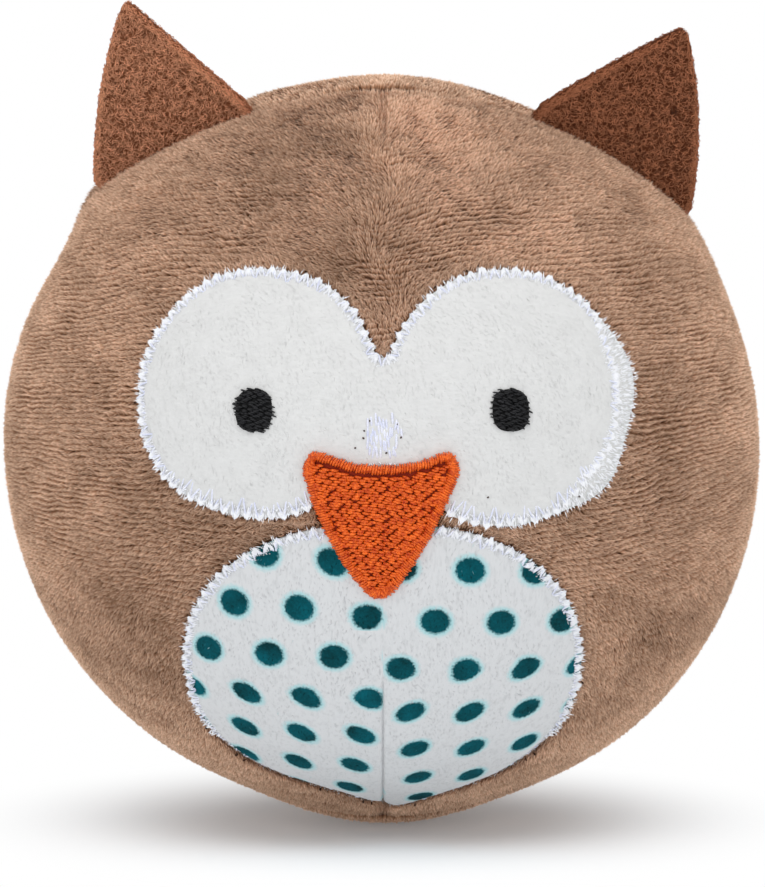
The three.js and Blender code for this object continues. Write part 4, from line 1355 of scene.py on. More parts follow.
def patch(name, outline, bottom, top, finish, slot, columns, rows, relief=level, closer=1.0):
    """A closed sheet of cloth with this outline; closer below 1 draws its columns to the middle."""
    low_edge, high_edge = column_edges(outline, columns, closer)
    rings = patch_rings(low_edge, high_edge, bottom, top, rows, relief)
    return new_piece(name, *shell(rings), finish, slot)


# The height below which the brown pile lies over the belly's edge
FRINGE_TOP = -36

# Share of the dart's valley that the belly's cloth stretches across, and the sharp crease that stays in it
BELLY_BRIDGING = 0.6
BELLY_CREASE = 0.3
BELLY_CREASE_HALF_WIDTH = 0.13
BELLY_CREASE_TOP = -24


def under_fringe(up):
    """1 along the belly's lower edge, where the brown pile lies over it, 0 above."""
    return smooth((FRINGE_TOP - up) / 8)


def sewn_relief(outline, creased=0.0, bridged=0.0):
    """Uneven short plush, pressed down along its sewn edge, deeper below, with a crease over the dart."""

    def relief(across, up):
        """Millimetres above the patch's even top: lumps and bridging less the pressed edge and the crease."""
        distance = outline.distance(across.ravel(), up.ravel())[0].reshape(across.shape)
        pressed = smooth((distance + 1.5) / 1.3) * (0.15 + 0.35 * under_fringe(up))
        crease = creased * bell(across, BELLY_CREASE_HALF_WIDTH) * smooth((BELLY_CREASE_TOP - up) / 6)
        return noises(across, up, PATCH_LUMPS) + bridged * FRONT.dip(across, up) - pressed - crease

    return relief


def flat_area(outline):
    """Area inside an outline, in square millimetres."""
    across, up = pair(outline.points)
    return abs(np.sum(across * np.roll(up, -1) - np.roll(across, -1) * up)) / 2


def dot_print(across, up):
    """Distance to the nearest printed dot: a staggered lattice, drawn in to the dart on both sides of it."""
    right = across > 0
    depth = -up
    gathered_from = np.where(right, GATHERED_FROM_RIGHT, GATHERED_FROM_LEFT)
    shift = DART_GATHER * np.maximum(0, depth + GATHER_SLANT * np.abs(across) - gathered_from)
    printed = across + np.where(right, shift, -shift)
    row_height = np.where(right, ROW_HEIGHT_RIGHT, ROW_HEIGHT_LEFT)
    levelled = np.clip((LEVEL_DEPTH - depth) / LEVELLING, LEVEL_LIMIT, 1.0)
    tilt = np.where(right, ROW_TILT_RIGHT, ROW_TILT_LEFT * levelled)
    drawn = BEAK_PULL * np.exp(-((across - BEAK_PULL_PLACE) ** 2) / BEAK_PULL_SPREAD_SQUARED)
    drawn = drawn * ~right * (depth < BEAK_PULL_DEPTH)
    row = (depth - np.where(right, FIRST_ROW_RIGHT, FIRST_ROW_LEFT) - tilt * across - drawn) / row_height
    number = np.round(row)
    column = (printed - FIRST_COLUMN) / DOT_PITCH - 0.5 * (number % 2)
    beside = (column - np.round(column)) * DOT_PITCH
    return np.hypot(beside, (row - number) * row_height * DOT_FLATTENING)


def belly_shade(across, up):
    """The strand map's shade of the belly's print: white, a halo, and the dots' dark middle."""
    ink = smooth((DOT_RADIUS + 0.25 - dot_print(across, up)) / 0.4)
    faded = 0.12 * smooth_noise(across, up, 6.0, 64)
    return mix(-0.6, 0.42 + faded, ink)


def patch_nap(tilt, outline):
    """Direction of a patch's short pile: down, tilted, and standing outwards at the sewn edge."""

    def nap(across, up):
        """Unit directions at places on the flat cloth."""
        down = np.stack([np.full_like(across, tilt), -np.ones_like(across)], axis=1)
        down = turned(down, 0.5 * smooth_noise(across, up, 4.0, 71))
        distance, nearest = outline.distance(across, up)
        near = 0.7 * np.exp(-np.abs(distance) / 0.9)
        return unit(mix(down, outline.outward[nearest], near[:, None]))

    return nap


PATCH_BOTTOM = -1.5
PATCH_TOP = 0.0
MASK_STRANDS_PER_MM2 = 4.0
BELLY_STRANDS_PER_MM2 = 2.4
CLOTH_MARGIN = 0.1
EDGE_FIBRES_PER_MM2 = 12.0
FIBRES_PER_TOOTH = 34


def patch_comb(nap, seed, **facts):
    """How short strands lie over a sewn patch: in clumps, with no rows."""
    return Comb(FRONT, seed, nap=nap, rows=back_rows, row_pitch=1.3, row_pull=level, **facts)


def loose_comb(outline, tilt, seed, length, bridging=0.0):
    """Fine loose strands over a sewn patch."""
    return patch_comb(
        patch_nap(tilt, outline),
        seed,
        foot=PATCH_TOP - 0.05,
        height=0.1,
        length=length,
        width=0.1,
        swing=0.35,
        clump=0.7,
        clump_pull=0.2,
        bridging=bridging,
    )


def edge_shown(outline, places, above):
    """True off the beak and, for the belly, above its lower edge, which the brown pile covers."""
    return (BEAK.distance(*pair(places))[0] > 0.3) & ((outline is MASK) | above)


def edge_tufts(name, outline, stitch_offset, finish, slot, seed):
    """Bright loose fibres in small tufts, drawn outwards from the zigzag's inner teeth to the sewn edge."""

    def outwards(across, up):
        """Directions square to the edge."""
        return outline.outward[outline.distance(across, up)[1]]

    def beside(across, up):
        """True between the edge and the zigzag's inner teeth."""
        away = outline.distance(across, up)[0]
        shown = edge_shown(outline, np.stack([across, up], axis=1), under_fringe(up) < 0.5)
        return shown & (away < 0.05) & (away > stitch_offset(across, up) - 1.2)

    comb = patch_comb(
        outwards,
        seed,
        foot=PATCH_TOP - 0.2,
        height=0.45,
        length=0.62,
        width=0.12,
        swing=0.32,
        clump=0.9,
        clump_pull=0.5,
    )
    roots = scatter(FRONT, EDGE_FIBRES_PER_MM2, beside, seed + 1)
    return pile(name, comb, roots, level, finish, slot)


def stretched_sheet(outline):
    """The area of the cloth cut to an outline, in square metres, which is not kept."""
    flat_area(outline) * MM**2


def edge_fuzz(name, outline, teeth, finish, slot, seed):
    """White fibres drawn out over a sewn edge to the zigzag's teeth, given as places and directions."""
    generator = np.random.default_rng(seed)
    places, outward = teeth
    shown = edge_shown(outline, places, outward[:, 1] > -0.3)
    ends = np.repeat(places[shown], FIBRES_PER_TOOTH, axis=0)
    away = np.repeat(outward[shown], FIBRES_PER_TOOTH, axis=0)
    count = len(ends)
    beside = np.stack([-away[:, 1], away[:, 0]], axis=1)
    spread = generator.uniform(-1, 1, count)
    roots = ends - away * generator.uniform(0.6, 1.5, count)[:, None] + beside * (0.7 * spread)[:, None]
    short = 0.45 * spread**2 + generator.uniform(-0.12, 0.2, count)
    tips = ends + beside * (0.4 * spread)[:, None] - away * short[:, None]
    layers = [
        FRONT.point(*pair(place), np.full(count, height))
        for place, height in ((roots, -0.15), (mix(roots, tips, 0.5), 0.08), (tips, 0.06))
    ]
    outward = FRONT.outward(*pair(tips))
    across = unit(np.cross(unit(layers[2] - layers[0]), outward))
    widths, shades = generator.uniform(0.1, 0.2, count), generator.uniform(0.1, 0.3, count)
    return blades(name, *layers, across, widths, shades, finish, slot)


def mask(cloth, strands, edge, teeth):
    """The white mask: its cloth and the loose ends of its short plush."""
    cut = MASK.moved(CLOTH_MARGIN)
    relief = sewn_relief(MASK)
    sheet = patch(
        "mask_cloth",
        cut,
        PATCH_BOTTOM,
        PATCH_TOP,
        cloth,
        "white_plush",
        columns=220,
        rows=90,
        relief=relief,
    )

    def bare(across, up):
        """True on the mask away from its edge and its embroidery."""
        covered = np.min([line.distance(across, up)[0] for line in (*PUPILS, BRIDGE, BEAK)], axis=0)
        return (MASK.distance(across, up)[0] < -0.8) & (covered > 0)

    def shade(across, up):
        """Soft patches of lighter and darker plush."""
        return 0.1 * smooth_noise(across, up, 3.0, 72)

    roots = scatter(FRONT, MASK_STRANDS_PER_MM2, bare, 121)
    plush = pile("mask_pile", loose_comb(MASK, 0.5, 120, 0.7), roots, shade, strands, "white_plush")
    fuzz = edge_fuzz("mask_fuzz", MASK, teeth, edge, "white_plush", 122)
    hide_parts("face_mask")
    tufts = edge_tufts("mask_tufts", MASK, mask_stitch_offset, edge, "white_plush", 123)
    stretched_sheet(cut)


def belly(cloth, strands, edge, teeth):
    """The dotted belly patch: its printed cloth, creased by the dart, and its silky loose ends."""
    cut = BELLY.moved(CLOTH_MARGIN)
    relief = sewn_relief(BELLY, BELLY_CREASE, BELLY_BRIDGING)
    sheet = patch(
        "belly_cloth",
        cut,
        PATCH_BOTTOM,
        PATCH_TOP,
        cloth,
        "dotted_cloth",
        columns=260,
        rows=120,
        relief=relief,
        closer=0.3,
    )

    def bare(across, up):
        """True on the belly away from its edge, the beak and the dots' outlines."""
        beside_dots = dot_print(across, up) - DOT_RADIUS
        clear = (beside_dots < -0.6) | (beside_dots > 0.5)
        return clear & (BELLY.distance(across, up)[0] < -0.8) & (BEAK.distance(across, up)[0] > 0)

    roots = scatter(FRONT, BELLY_STRANDS_PER_MM2, bare, 131)
    comb = loose_comb(BELLY, 0.0, 130, 0.6, BELLY_BRIDGING)
    silk = pile("belly_pile", comb, roots, belly_shade, strands, "dotted_cloth")
    fuzz = edge_fuzz("belly_fuzz", BELLY, teeth, edge, "dotted_cloth", 132)
    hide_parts("belly_patch")
    tufts = edge_tufts("belly_tufts", BELLY, belly_stitch_offset, edge, "dotted_cloth", 133)
    stretched_sheet(cut)


# Stitches


ZIGZAG_STEP = 0.8
ZIGZAG_HALF_WIDTH = 0.13
ZIGZAG_HALF_HEIGHT = 0.1
SATIN_HALF_WIDTH = 0.165
SATIN_HALF_HEIGHT = 0.17

# Ground under embroidery, painted darker than its thread as the shade between the stitches
GROUND_BOTTOM = -0.8
GROUND_TOP = 0.15

# How far the mask's edge above the beak has no zigzag, to each side and upwards
BRIDGED_HALF_WIDTH = 6.0
BRIDGED_TOP = 6.0


def sewn_paths(starts, ends, foot, crown, steps=7):
    """Paths of stitches from needle hole to needle hole: arches of a sine's power 0.6 with sunk ends."""
    share = np.linspace(0, 1, steps)[None, :, None]
    flat = mix(starts[:, None], ends[:, None], share)
    arch = np.sin(np.pi * share[..., 0]) ** 0.6
    height = mix(np.reshape(foot, (-1, 1)), np.reshape(crown, (-1, 1)), arch)
    across, up = pair(flat)
    return FRONT.point(across, up, height), FRONT.outward(across, up)


def plump(width, steps=7):
    """Half widths along a stitch: full in the middle, 0.45 of it at the holes, by a sine's square root."""
    share = np.linspace(0, 1, steps)
    return width * mix(0.45, 1.0, np.sin(np.pi * share) ** 0.5)


def zigzag(name, node, outline, line_offset, reach_in, reach_out, finish, seed):
    """A zigzag along an outline: a stitch out to each tooth and one back, none at the beak and above it."""
    generator = np.random.default_rng(seed)
    line = Outline(outline.points, ZIGZAG_STEP)
    count = len(line.points) // 2 * 2
    place = np.arange(count)
    points, outward = line.points[:count], line.outward[:count]
    wander = 0.15 * smooth_noise(place * ZIGZAG_STEP, np.zeros(count), 2.0, seed)
    reach = np.where(place % 2 == 0, -reach_in(outward), reach_out) * generator.uniform(0.65, 1.15, count)
    offset = line_offset(*pair(points)) + wander + reach
    holes = points + outward * offset[:, None] + generator.normal(0, 0.06, (count, 2))
    after = np.roll(holes, -1, axis=0)
    middle = (holes + after) / 2
    across, up = pair(middle)
    bridged = (np.abs(across) < BRIDGED_HALF_WIDTH) & (up > 0.0) & (up < BRIDGED_TOP)
    shown = (BEAK.distance(across, up)[0] > 0.2) & ~bridged
    sunk = 0.4 * under_fringe(up)
    crown = 0.02 + generator.normal(0, 0.06, count) - sunk
    paths, normal = sewn_paths(holes[shown], after[shown], (-0.25 - sunk)[shown], crown[shown])
    half_width, half_height = plump(ZIGZAG_HALF_WIDTH), plump(ZIGZAG_HALF_HEIGHT)
    piece = threads(name, paths, normal, half_width, half_height, finish, "white_thread")
    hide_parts(node)
    return holes[1::2], outward[1::2]


# Share of the teeth with a hole beside them
HOLE_SHARE = 0.2

# Single holes, mostly over the beak
SPECKS = [
    (-1.6, 7.1),
    (-2.3, 5.9),
    (-2.4, 5.0),
    (-3.4, 3.8),
    (0.4, 3.2),
    (1.7, 6.7),
    (2.2, 5.1),
    (0.2, 1.9),
    (13.0, -2.4),
]


def needle_holes(name, teeth, finish, seed):
    """Small dark specks of painted shade, standing in for the holes where the needle drew the pile in: beside
    some of the teeth, and over the beak.
    """
    generator = np.random.default_rng(seed)
    places, outward = (np.vstack(parts) for parts in zip(*teeth))
    holes = places + outward * 0.12 + np.roll(outward, 1, axis=1) * [-0.35, 0.35]
    holes = np.vstack([holes[generator.random(len(holes)) < HOLE_SHARE], SPECKS])
    holes = holes[BEAK.distance(*pair(holes))[0] > 0.3]
    reach = np.stack([np.cos(holes[:, 0] * 9), np.sin(holes[:, 1] * 9)], axis=1) * 0.12
    paths, normal = sewn_paths(holes - reach, holes + reach, -0.3, 0.1)
    threads(name, paths, normal, plump(0.11), plump(0.1), finish, "brown_thread")


def mask_stitch_offset(across, up):
    """The zigzag lies on the mask's edge, but inside the untrimmed margin of the right lobe's outer side."""
    turn = lobe_turn(1, across, up)
    margin = smooth((turn + 75) / 25) * smooth((45 - turn) / 25) * (across > LOBE_OFFSET / 2)
    return -0.1 - 1.5 * margin - untrimmed(across, up)


def mask_reach_in(outward):
    """The mask's stitches reach further in where its edge faces down."""
    return 1.35 + 1.1 * smooth((-outward[:, 1] - 0.6) / 0.35)


def belly_reach_in(outward):
    """The belly's stitches are as deep all round."""
    return np.full(len(outward), 1.25)


def belly_stitch_offset(across, up):
    """The zigzag sinks into the brown pile along the belly's lower edge."""
    return -0.1 - 0.35 * under_fringe(up)


def filled_rows(outline, pitch, length, tilt, wave, seed, inset):
    """Starts and ends of fill stitches: waved rows across an outline, each row cut in staggered lengths."""
    generator = np.random.default_rng(seed)
    low, high = outline.points.min(axis=0), outline.points.max(axis=0)
    rows = np.arange(low[1] - 3, high[1] + 3, pitch)
    along = np.arange(low[0] - 3, high[0] + 3, length)
    start, row = np.meshgrid(along, rows)
    staggered = (np.arange(len(rows)) % 3)[:, None] / 3 + generator.uniform(-0.25, 0.25, start.shape)
    start = start + staggered * length
    end = start + length * generator.uniform(0.9, 1.25, start.shape)

    def bent(across, row):
        """Places on a row, tilted and waved by a cosine, with a little jitter."""
        beside = across - (low[0] + high[0]) / 2
        jitter = generator.normal(0, 0.045, across.shape)
        up = row + tilt * beside + wave * np.cos(beside * 0.45) + jitter
        return np.stack([across, up], axis=-1).reshape(-1, 2)

    starts, ends = bent(start, row), bent(end, row)
    middles = (starts + ends) / 2
    kept = outline.distance(*pair(middles))[0] < -inset(middles)
    return starts[kept], ends[kept], generator


def embroidery_fill(name, node, slot, finish, rows, base, crown, half_width, half_height):
    """Stitches along rows inside an outline, from a base height up to a crown."""
    starts, ends, generator = rows
    heights = crown + generator.normal(0, 0.04, len(starts))
    paths, normal = sewn_paths(starts, ends, base, heights)
    piece = threads(name, paths, normal, plump(half_width), plump(half_height), finish, slot)
    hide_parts(node)


def satin_border(name, node, outline, finish, slot, pitch, width, crown, seed):
    """Satin stitches side by side, square to an outline, with loose ends over its edge."""
    generator = np.random.default_rng(seed)
    line = Outline(outline.points, pitch)
    count = len(line.points)
    outer = line.points + line.outward * generator.uniform(-0.1, 0.2, count)[:, None]
    reach = width(line.points) * generator.uniform(0.85, 1.1, count)
    inner = line.points - line.outward * reach[:, None] + line.along * 0.25
    heights = crown(line.points) + generator.normal(0, 0.08, count)
    paths, normal = sewn_paths(outer, inner, -0.35, heights, steps=9)
    half_width, half_height = plump(SATIN_HALF_WIDTH, 9), plump(SATIN_HALF_HEIGHT, 9)
    piece = threads(name, paths, normal, half_width, half_height, finish, slot)
    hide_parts(node)


def beak_top(points):
    """1 along the beak's top edge between its corners, 0 elsewhere."""
    return smooth((points[:, 1] + 0.4) / 2.0) * (np.abs(points[:, 0]) < 8.6)


def even(inset):
    """The same inset at all points."""
    return lambda points: np.full(len(points), inset)


def beak(orange, ground):
    """The beak: a ground painted darker than its thread as the shade between the stitches, rows of fill, and
    a satin border, raised to a roll at the top.
    """
    line = BEAK.moved(-0.5)
    patch("beak_shade_ground", line, GROUND_BOTTOM, GROUND_TOP, ground, "orange_thread", columns=60, rows=24)

    def inset(points):
        """How far the fill stays inside the edge, more under the roll."""
        return 1.0 + 0.45 * beak_top(points + [0.0, 1.5])

    def width(points):
        """The border's width, narrower along the top."""
        return mix(1.6, 1.15, beak_top(points))

    def crown(points):
        """The border's height, a roll along the top."""
        return mix(0.65, 1.0, beak_top(points))

    rows = filled_rows(BEAK, pitch=0.33, length=0.95, tilt=-0.16, wave=0.25, seed=141, inset=inset)
    embroidery_fill(
        "beak_fill_stitches",
        "beak_fill_embroidery",
        "orange_thread",
        orange,
        rows,
        base=0.18,
        crown=0.5,
        half_width=0.19,
        half_height=0.152,
    )
    satin_border(
        "beak_border_stitches",
        "beak_border_embroidery",
        BEAK,
        orange,
        "orange_thread",
        pitch=0.31,
        width=width,
        crown=crown,
        seed=142,
    )


def pupils(black, ground):
    """The pupils: a black ground, a little darker than the thread, partly the pupils' own black and partly
    painted shade between the stitches, and slanted black rows with ragged ends.
    """
    for side, seed, outline in zip(("left", "right"), (154, 155), PUPILS):
        patch(
            f"{side}_pupil_shade_ground",
            outline.moved(-0.2),
            bottom=-0.5,
            top=GROUND_TOP,
            finish=ground,
            slot="black_thread",
            columns=24,
            rows=12,
        )
        rows = filled_rows(outline, pitch=0.22, length=0.95, tilt=-0.3, wave=0.0, seed=seed, inset=even(0.2))
        embroidery_fill(
            f"{side}_pupil_stitches",
            f"{side}_pupil_embroidery",
            "black_thread",
            black,
            rows,
            base=0.0,
            crown=0.4,
            half_width=0.12,
            half_height=0.096,
        )


def bridge(white):
    """The small patch of upright stitches over the beak: fill rows turned a quarter round."""
    rows = filled_rows(BRIDGE, pitch=0.4, length=1.3, tilt=0.0, wave=0.0, seed=161, inset=even(0.1))
    starts, ends, generator = rows
    centre = np.array([0.0, BRIDGE_HEIGHT])
    quarter = [turned(places - centre, math.pi / 2) * [0.9, 1.2] + centre for places in (starts, ends)]
    quarter = [places + generator.normal(0, 0.12, places.shape) for places in quarter]
    embroidery_fill(
        "bridge_stitches",
        "mask_bridge_stitching",
        "white_thread",
        white,
        (*quarter, generator),
        base=-0.15,
        crown=0.07,
        half_width=0.15,
        half_height=0.1,
    )


# Ears


# For each ear, how far its inner corner and its tip lie beside the solid's, along the base and outwards, and
# how far its inner and outer sides swell
LEFT_EAR_LOOK = ((-1.2, 0.2), (0.0, -0.4), 0.0, 1.1)
RIGHT_EAR_LOOK = ((-3.0, 0.4), (1.0, -0.2), 0.3, 1.25)

# The pinhole in the right ear, painted on its fibres as a dark spot of shade, along its base and outwards
# from the ball's centre
PINHOLE = (0.5, 59.4)
PINHOLE_RADIUS = 0.35

# The felt's loose fibres: how many, half their lengths, their widths and how far they curl
EAR_FIBRES = 27000
EAR_FIBRE_HALF_LENGTHS = (0.3, 0.6)
EAR_FIBRE_WIDTHS = (0.08, 0.16)
EAR_FIBRE_CURL = 0.7


class Ear:
    """A pointed felt leaf caught in the seam: its base line on the ball, its tip and its bowed sides."""

    def __init__(self, side, middle):
        self.side = side
        inner = point_on_seam(middle - side * EAR_HALF_SPAN)
        outer = point_on_seam(middle + side * EAR_HALF_SPAN)
        self.base = [unit(mix(inner, outer, share)) for share in (0.0, 0.5, 1.0)]
        self.base = [toward * ball_radius(toward, EAR_CLEARANCE) for toward in self.base]
        self.out = unit(inner + outer)
        self.along = unit(outer - inner)
        self.normal = np.cross(self.along, self.out)
        self.inner_corner = self.flat(self.base[0])
        self.outer_corner = self.flat(self.base[2])
        middle = (self.inner_corner + self.outer_corner) / 2
        look = LEFT_EAR_LOOK if side < 0 else RIGHT_EAR_LOOK
        corner_shift, tip_shift, self.inner_swell, self.outer_swell = look
        self.tip = middle + np.array([-EAR_TIP_LEAN, EAR_LENGTH]) + tip_shift
        self.inner_corner = self.inner_corner + corner_shift

    def flat(self, point):
        """A point in the ear's own flat frame, along its base and outwards."""
        return np.array([point @ self.along, point @ self.out])

    def side_line(self, corner, swell, share):
        """One side from its base corner to the tip: a quadratic arc bowed outwards by a swell."""
        square = unit(np.array([corner[1] - self.tip[1], self.tip[0] - corner[0]]))
        square = square * np.sign(square @ (corner - (self.inner_corner + self.outer_corner) / 2))
        bend = (corner + self.tip) / 2 + 2 * swell * square
        return arc(corner, bend, self.tip, share[:, None])

    def place(self, flat, off):
        """Points of the frame for flat places, lifted off the leaf's middle plane."""
        in_plane = flat[..., :1] * self.along + flat[..., 1:] * self.out
        return BALL_CENTRE + in_plane + off[..., None] * self.normal


def ear_sides(ear, share):
    """Both sides of the leaf at shares of its height: straight below 0, and the last share is a round tip."""
    below = np.clip(share, 0, 1 - EAR_TIP_SHARE)
    round_share = np.clip((share - below) / EAR_TIP_SHARE, 0, 1)[:, None] / 2
    sunk = np.minimum(share, 0)[:, None] * [0.0, EAR_LENGTH]
    inner = ear.side_line(ear.inner_corner, ear.inner_swell, below)
    outer = ear.side_line(ear.outer_corner, ear.outer_swell, below)
    return arc(inner, ear.tip, outer, round_share) + sunk, arc(outer, ear.tip, inner, round_share) + sunk


def ear_rings(ear):
    """The leaf as closed slices from its sunk root to its tip, each a slab with round ends."""
    share = np.concatenate([[-EAR_ROOT_SHARE, -EAR_ROOT_SHARE / 2], np.linspace(0, 0.995, 70)])
    across = np.linspace(-1, 1, 41)
    rings = []
    for start, end in zip(*ear_sides(ear, share)):
        middle, half = (start + end) / 2, (end - start) / 2
        length = np.linalg.norm(half)
        rim = min(EAR_THICKNESS / 2, length)
        flat_part = np.sign(across) * np.maximum(np.abs(across) * length - (length - rim), 0) / rim
        off = EAR_THICKNESS / 2 * np.sqrt(np.maximum(1 - flat_part**2, 0.0))
        flat = middle + across[:, None] * half
        off = off + noises(*pair(flat), EAR_LUMPS) * (off > 0.2)
        back = slice(-2, 0, -1)
        rings.append(np.vstack([ear.place(flat, off), ear.place(flat[back], -off[back])]))
    return np.array(rings)


def ear_fibres(name, ear, finish, slot, seed):
    """Curled fibres matted over both faces of a leaf: painted shade on the lowest, painted light on the
    highest and along the edges, most on the inner, upper edge.
    """
    generator = np.random.default_rng(seed)
    share = generator.uniform(-0.12, 0.99, EAR_FIBRES)
    across = generator.uniform(-1, 1, EAR_FIBRES)
    inner, outer = ear_sides(ear, share)
    half = (outer - inner) / 2
    length = np.linalg.norm(half, axis=1)
    kept = generator.random(EAR_FIBRES) < length / length.max()
    inner, outer, half, length, across = (part[kept] for part in (inner, outer, half, length, across))
    count = len(length)
    on_edge = generator.random(count) < 0.2
    at_edge = np.sign(across) * (1 - generator.uniform(0, 0.9, count) / np.maximum(length, 1.0))
    across = np.where(on_edge, at_edge, across)
    to_edge = (1 - np.abs(across)) * length
    face = generator.choice([-1.0, 1.0], count)
    off_rim = 1 - np.clip(to_edge / (EAR_THICKNESS / 2), 0, 1)
    off = face * EAR_THICKNESS / 2 * np.sqrt(np.clip(1 - off_rim**2, 0, 1))
    middle = (inner + outer) / 2 + across[:, None] * half
    side = np.where((across < 0)[:, None], ear.tip - ear.inner_corner, ear.tip - ear.outer_corner)
    along_side = np.arctan2(side[:, 1], side[:, 0]) + generator.normal(0, 0.3, count)
    turn = np.where(to_edge < 0.7, along_side, generator.uniform(0, 2 * np.pi, count))
    reach = generator.uniform(*EAR_FIBRE_HALF_LENGTHS, count) * np.clip(0.55 + to_edge, 0, 1)
    step = np.stack([np.cos(turn), np.sin(turn)], axis=1) * reach[:, None]
    bow = generator.uniform(-EAR_FIBRE_CURL, EAR_FIBRE_CURL, count)
    curl = np.stack([-step[:, 1], step[:, 0]], axis=1) * bow[:, None]
    rough = 0.1 * smooth_noise(*pair(middle), 1.5, 81)
    height = generator.random(count)
    lift = [rough - 0.06 + 0.1 * height, rough + 0.04 + 0.3 * height, rough - 0.06 + 0.24 * height]
    layers = [
        ear.place(flat, off + face * rise)
        for flat, rise in zip((middle - step, middle + curl, middle + step), lift)
    ]
    beside = unit(np.cross(unit(layers[2] - layers[0]), ear.normal))
    # painted light along the edges, most on the inner, upper edge that faces the lamps; painted shade on the
    # lowest fibres
    edge = smooth(1 - to_edge / 0.9) * np.where(across < 0, 1.0, 0.5)
    shades = 0.1 + 0.7 * height + generator.normal(0, 0.14, count) + 0.5 * edge
    # painted shade: fibres over the pinhole made dark
    if ear.side > 0:
        shades = shades - 2.0 * bell(np.linalg.norm(middle - PINHOLE, axis=1), PINHOLE_RADIUS)
    widths = generator.uniform(*EAR_FIBRE_WIDTHS, count)
    return blades(name, *layers, beside, widths, shades, finish, slot, body=None)


def ear(name, node, side, middle, felt, fibre, slot):
    """A felt ear and its matted fibres, set in the frame."""
    shape = Ear(side, middle)
    piece = new_piece(name, *shell(ear_rings(shape)), felt, slot, body=None)
    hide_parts(node)
    base = (BALL_CENTRE + shape.base[1]) * MM
    out = shape.out * MM
    fibres = ear_fibres(f"{name}_fibres", shape, fibre, slot, 180 + side)
    for part in (piece, fibres):
        tuple(base - 1.0 * out)
        tuple(base + 2.5 * out)
        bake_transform(part)
    width = abs(shape.outer_corner[0] - shape.inner_corner[0])
    length = (1 + EAR_ROOT_SHARE) * EAR_LENGTH
    area = (0.56 + EAR_ROOT_SHARE) / (1 + EAR_ROOT_SHARE) * width * length
    width * MM
    area * MM**2


# Inside


def squeaker(clear, hard):
    """The squeaker keeps its solids and gets its plastics."""
    finishes = {
        "squeaker_bulb": clear,
        "squeaker_whistle_body": hard,
        "squeaker_reed_plate": hard,
        "squeaker_reed": clear,
    }
    for name, finish in finishes.items():
        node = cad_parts[name]
        for material_slot in node.material_slots:
            material_slot.link = "OBJECT"
            material_slot.material = finish


STUFFING_SIDES = 96
STUFFING_RINGS = 40
ROOM_RINGS = 24
# How far the filling stays inside the cloth and from the seam
STUFFING_GAP = 1.4
STUFFING_TUCK = 1.2
# How deep the filling is pressed in beside the seam and at the darts, and how far each press spreads
SEAM_PRESS = (4.2, 5.0)
DART_PRESS = (5.0, 3.0)


def stuffing_rings(panel):
    """Half of the loose filling: out over the pole, in along the seam, and back round the squeaker's room."""
    around = np.linspace(0, 2 * np.pi, STUFFING_SIDES, endpoint=False)
    edge = panel.edge(around) - STUFFING_TUCK
    rings = []
    for share in np.linspace(0.03, 1, STUFFING_RINGS):
        across, up = edge * share * np.sin(around), edge * share * np.cos(around)
        pressed = SEAM_PRESS[0] * bell(panel.to_seam(across, up), SEAM_PRESS[1])
        for dart in panel.darts:
            along, beside = panel.along_dart(dart, across, up)
            at_dart = DART_PRESS[0] * smooth(along * 6) * bell(beside, DART_PRESS[1])
            pressed = np.maximum(pressed, at_dart)
        height = panel.dip(across, up) - CLOTH_THICKNESS - STUFFING_GAP - pressed
        rings.append(panel.point(across, up, height + noises(across, up, STUFFING_LUMPS)))
    rim = rings[-1] - BALL_CENTRE
    room = room_for_bulb(unit(rim))
    for share in (0.25, 0.5, 0.75):
        rings.append(BALL_CENTRE + mix(rim, room, share))
    for share in np.linspace(1, 0.03, ROOM_RINGS):
        toward = panel.toward(panel.edge(around) * share / BALL_RADIUS, around)
        rings.append(BALL_CENTRE + room_for_bulb(toward))
    return np.array(rings)


def room_for_bulb(toward):
    """Points of the room round the squeaker in some directions: a flattened ball, larger than the bulb."""
    half = np.array([ROOM_RADIUS, ROOM_HALF_DEPTH, ROOM_RADIUS])
    return toward / np.linalg.norm(toward / half, axis=-1, keepdims=True)


def stuffing(name, node, panel, finish):
    """Half of the loose filling as a closed piece."""
    piece = new_piece(name, *shell(stuffing_rings(panel), flip=panel.side > 0), finish, "stuffing_fibre")
    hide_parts(node)


SEAM_STITCHES = 124
SEAM_STITCH_HALF_WIDTH = 0.26


def seam_stitches(finish):
    """Lock stitches all round the turned-in seam."""
    steps = 7
    turn = np.arange(SEAM_STITCHES)[:, None] + np.linspace(0.05, 1.0, steps)
    around = turn * 2 * np.pi / SEAM_STITCHES
    toward = direction(seam_angle(around), around)
    sag = 0.12 * np.sin(np.linspace(0, np.pi, steps))
    paths = BALL_CENTRE + toward * (ball_radius(toward, -SEAM_THREAD_DEPTH) + sag)[..., None]
    half = plump(SEAM_STITCH_HALF_WIDTH)
    piece = threads("seam_stitches", paths, toward, half, half, finish, "brown_thread")
    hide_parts("side_seam_thread")


def backing(finish):
    """Thin fleece behind the embroidered beak."""
    line = BEAK.moved(3.0)
    piece = patch(
        "embroidery_fleece",
        line,
        bottom=-3.4,
        top=-3.0,
        finish=finish,
        slot="backing_fleece",
        columns=60,
        rows=24,
    )
    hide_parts("embroidery_backing")
    stretched_sheet(line)


# Camera, light and floor

SENSOR_WIDTH = 36.0
LAMP_AIM = (0.0, 0.0, 0.05)
WHITE = (1.0, 1.0, 1.0, 1.0)
FLOOR_COLOUR = (0.905, 0.93, 0.955, 1.0)
FLOOR_GLOW = 0.13
# Metres from the toy's middle between which the floor fades to white
FLOOR_FADE = (0.018, 0.06)


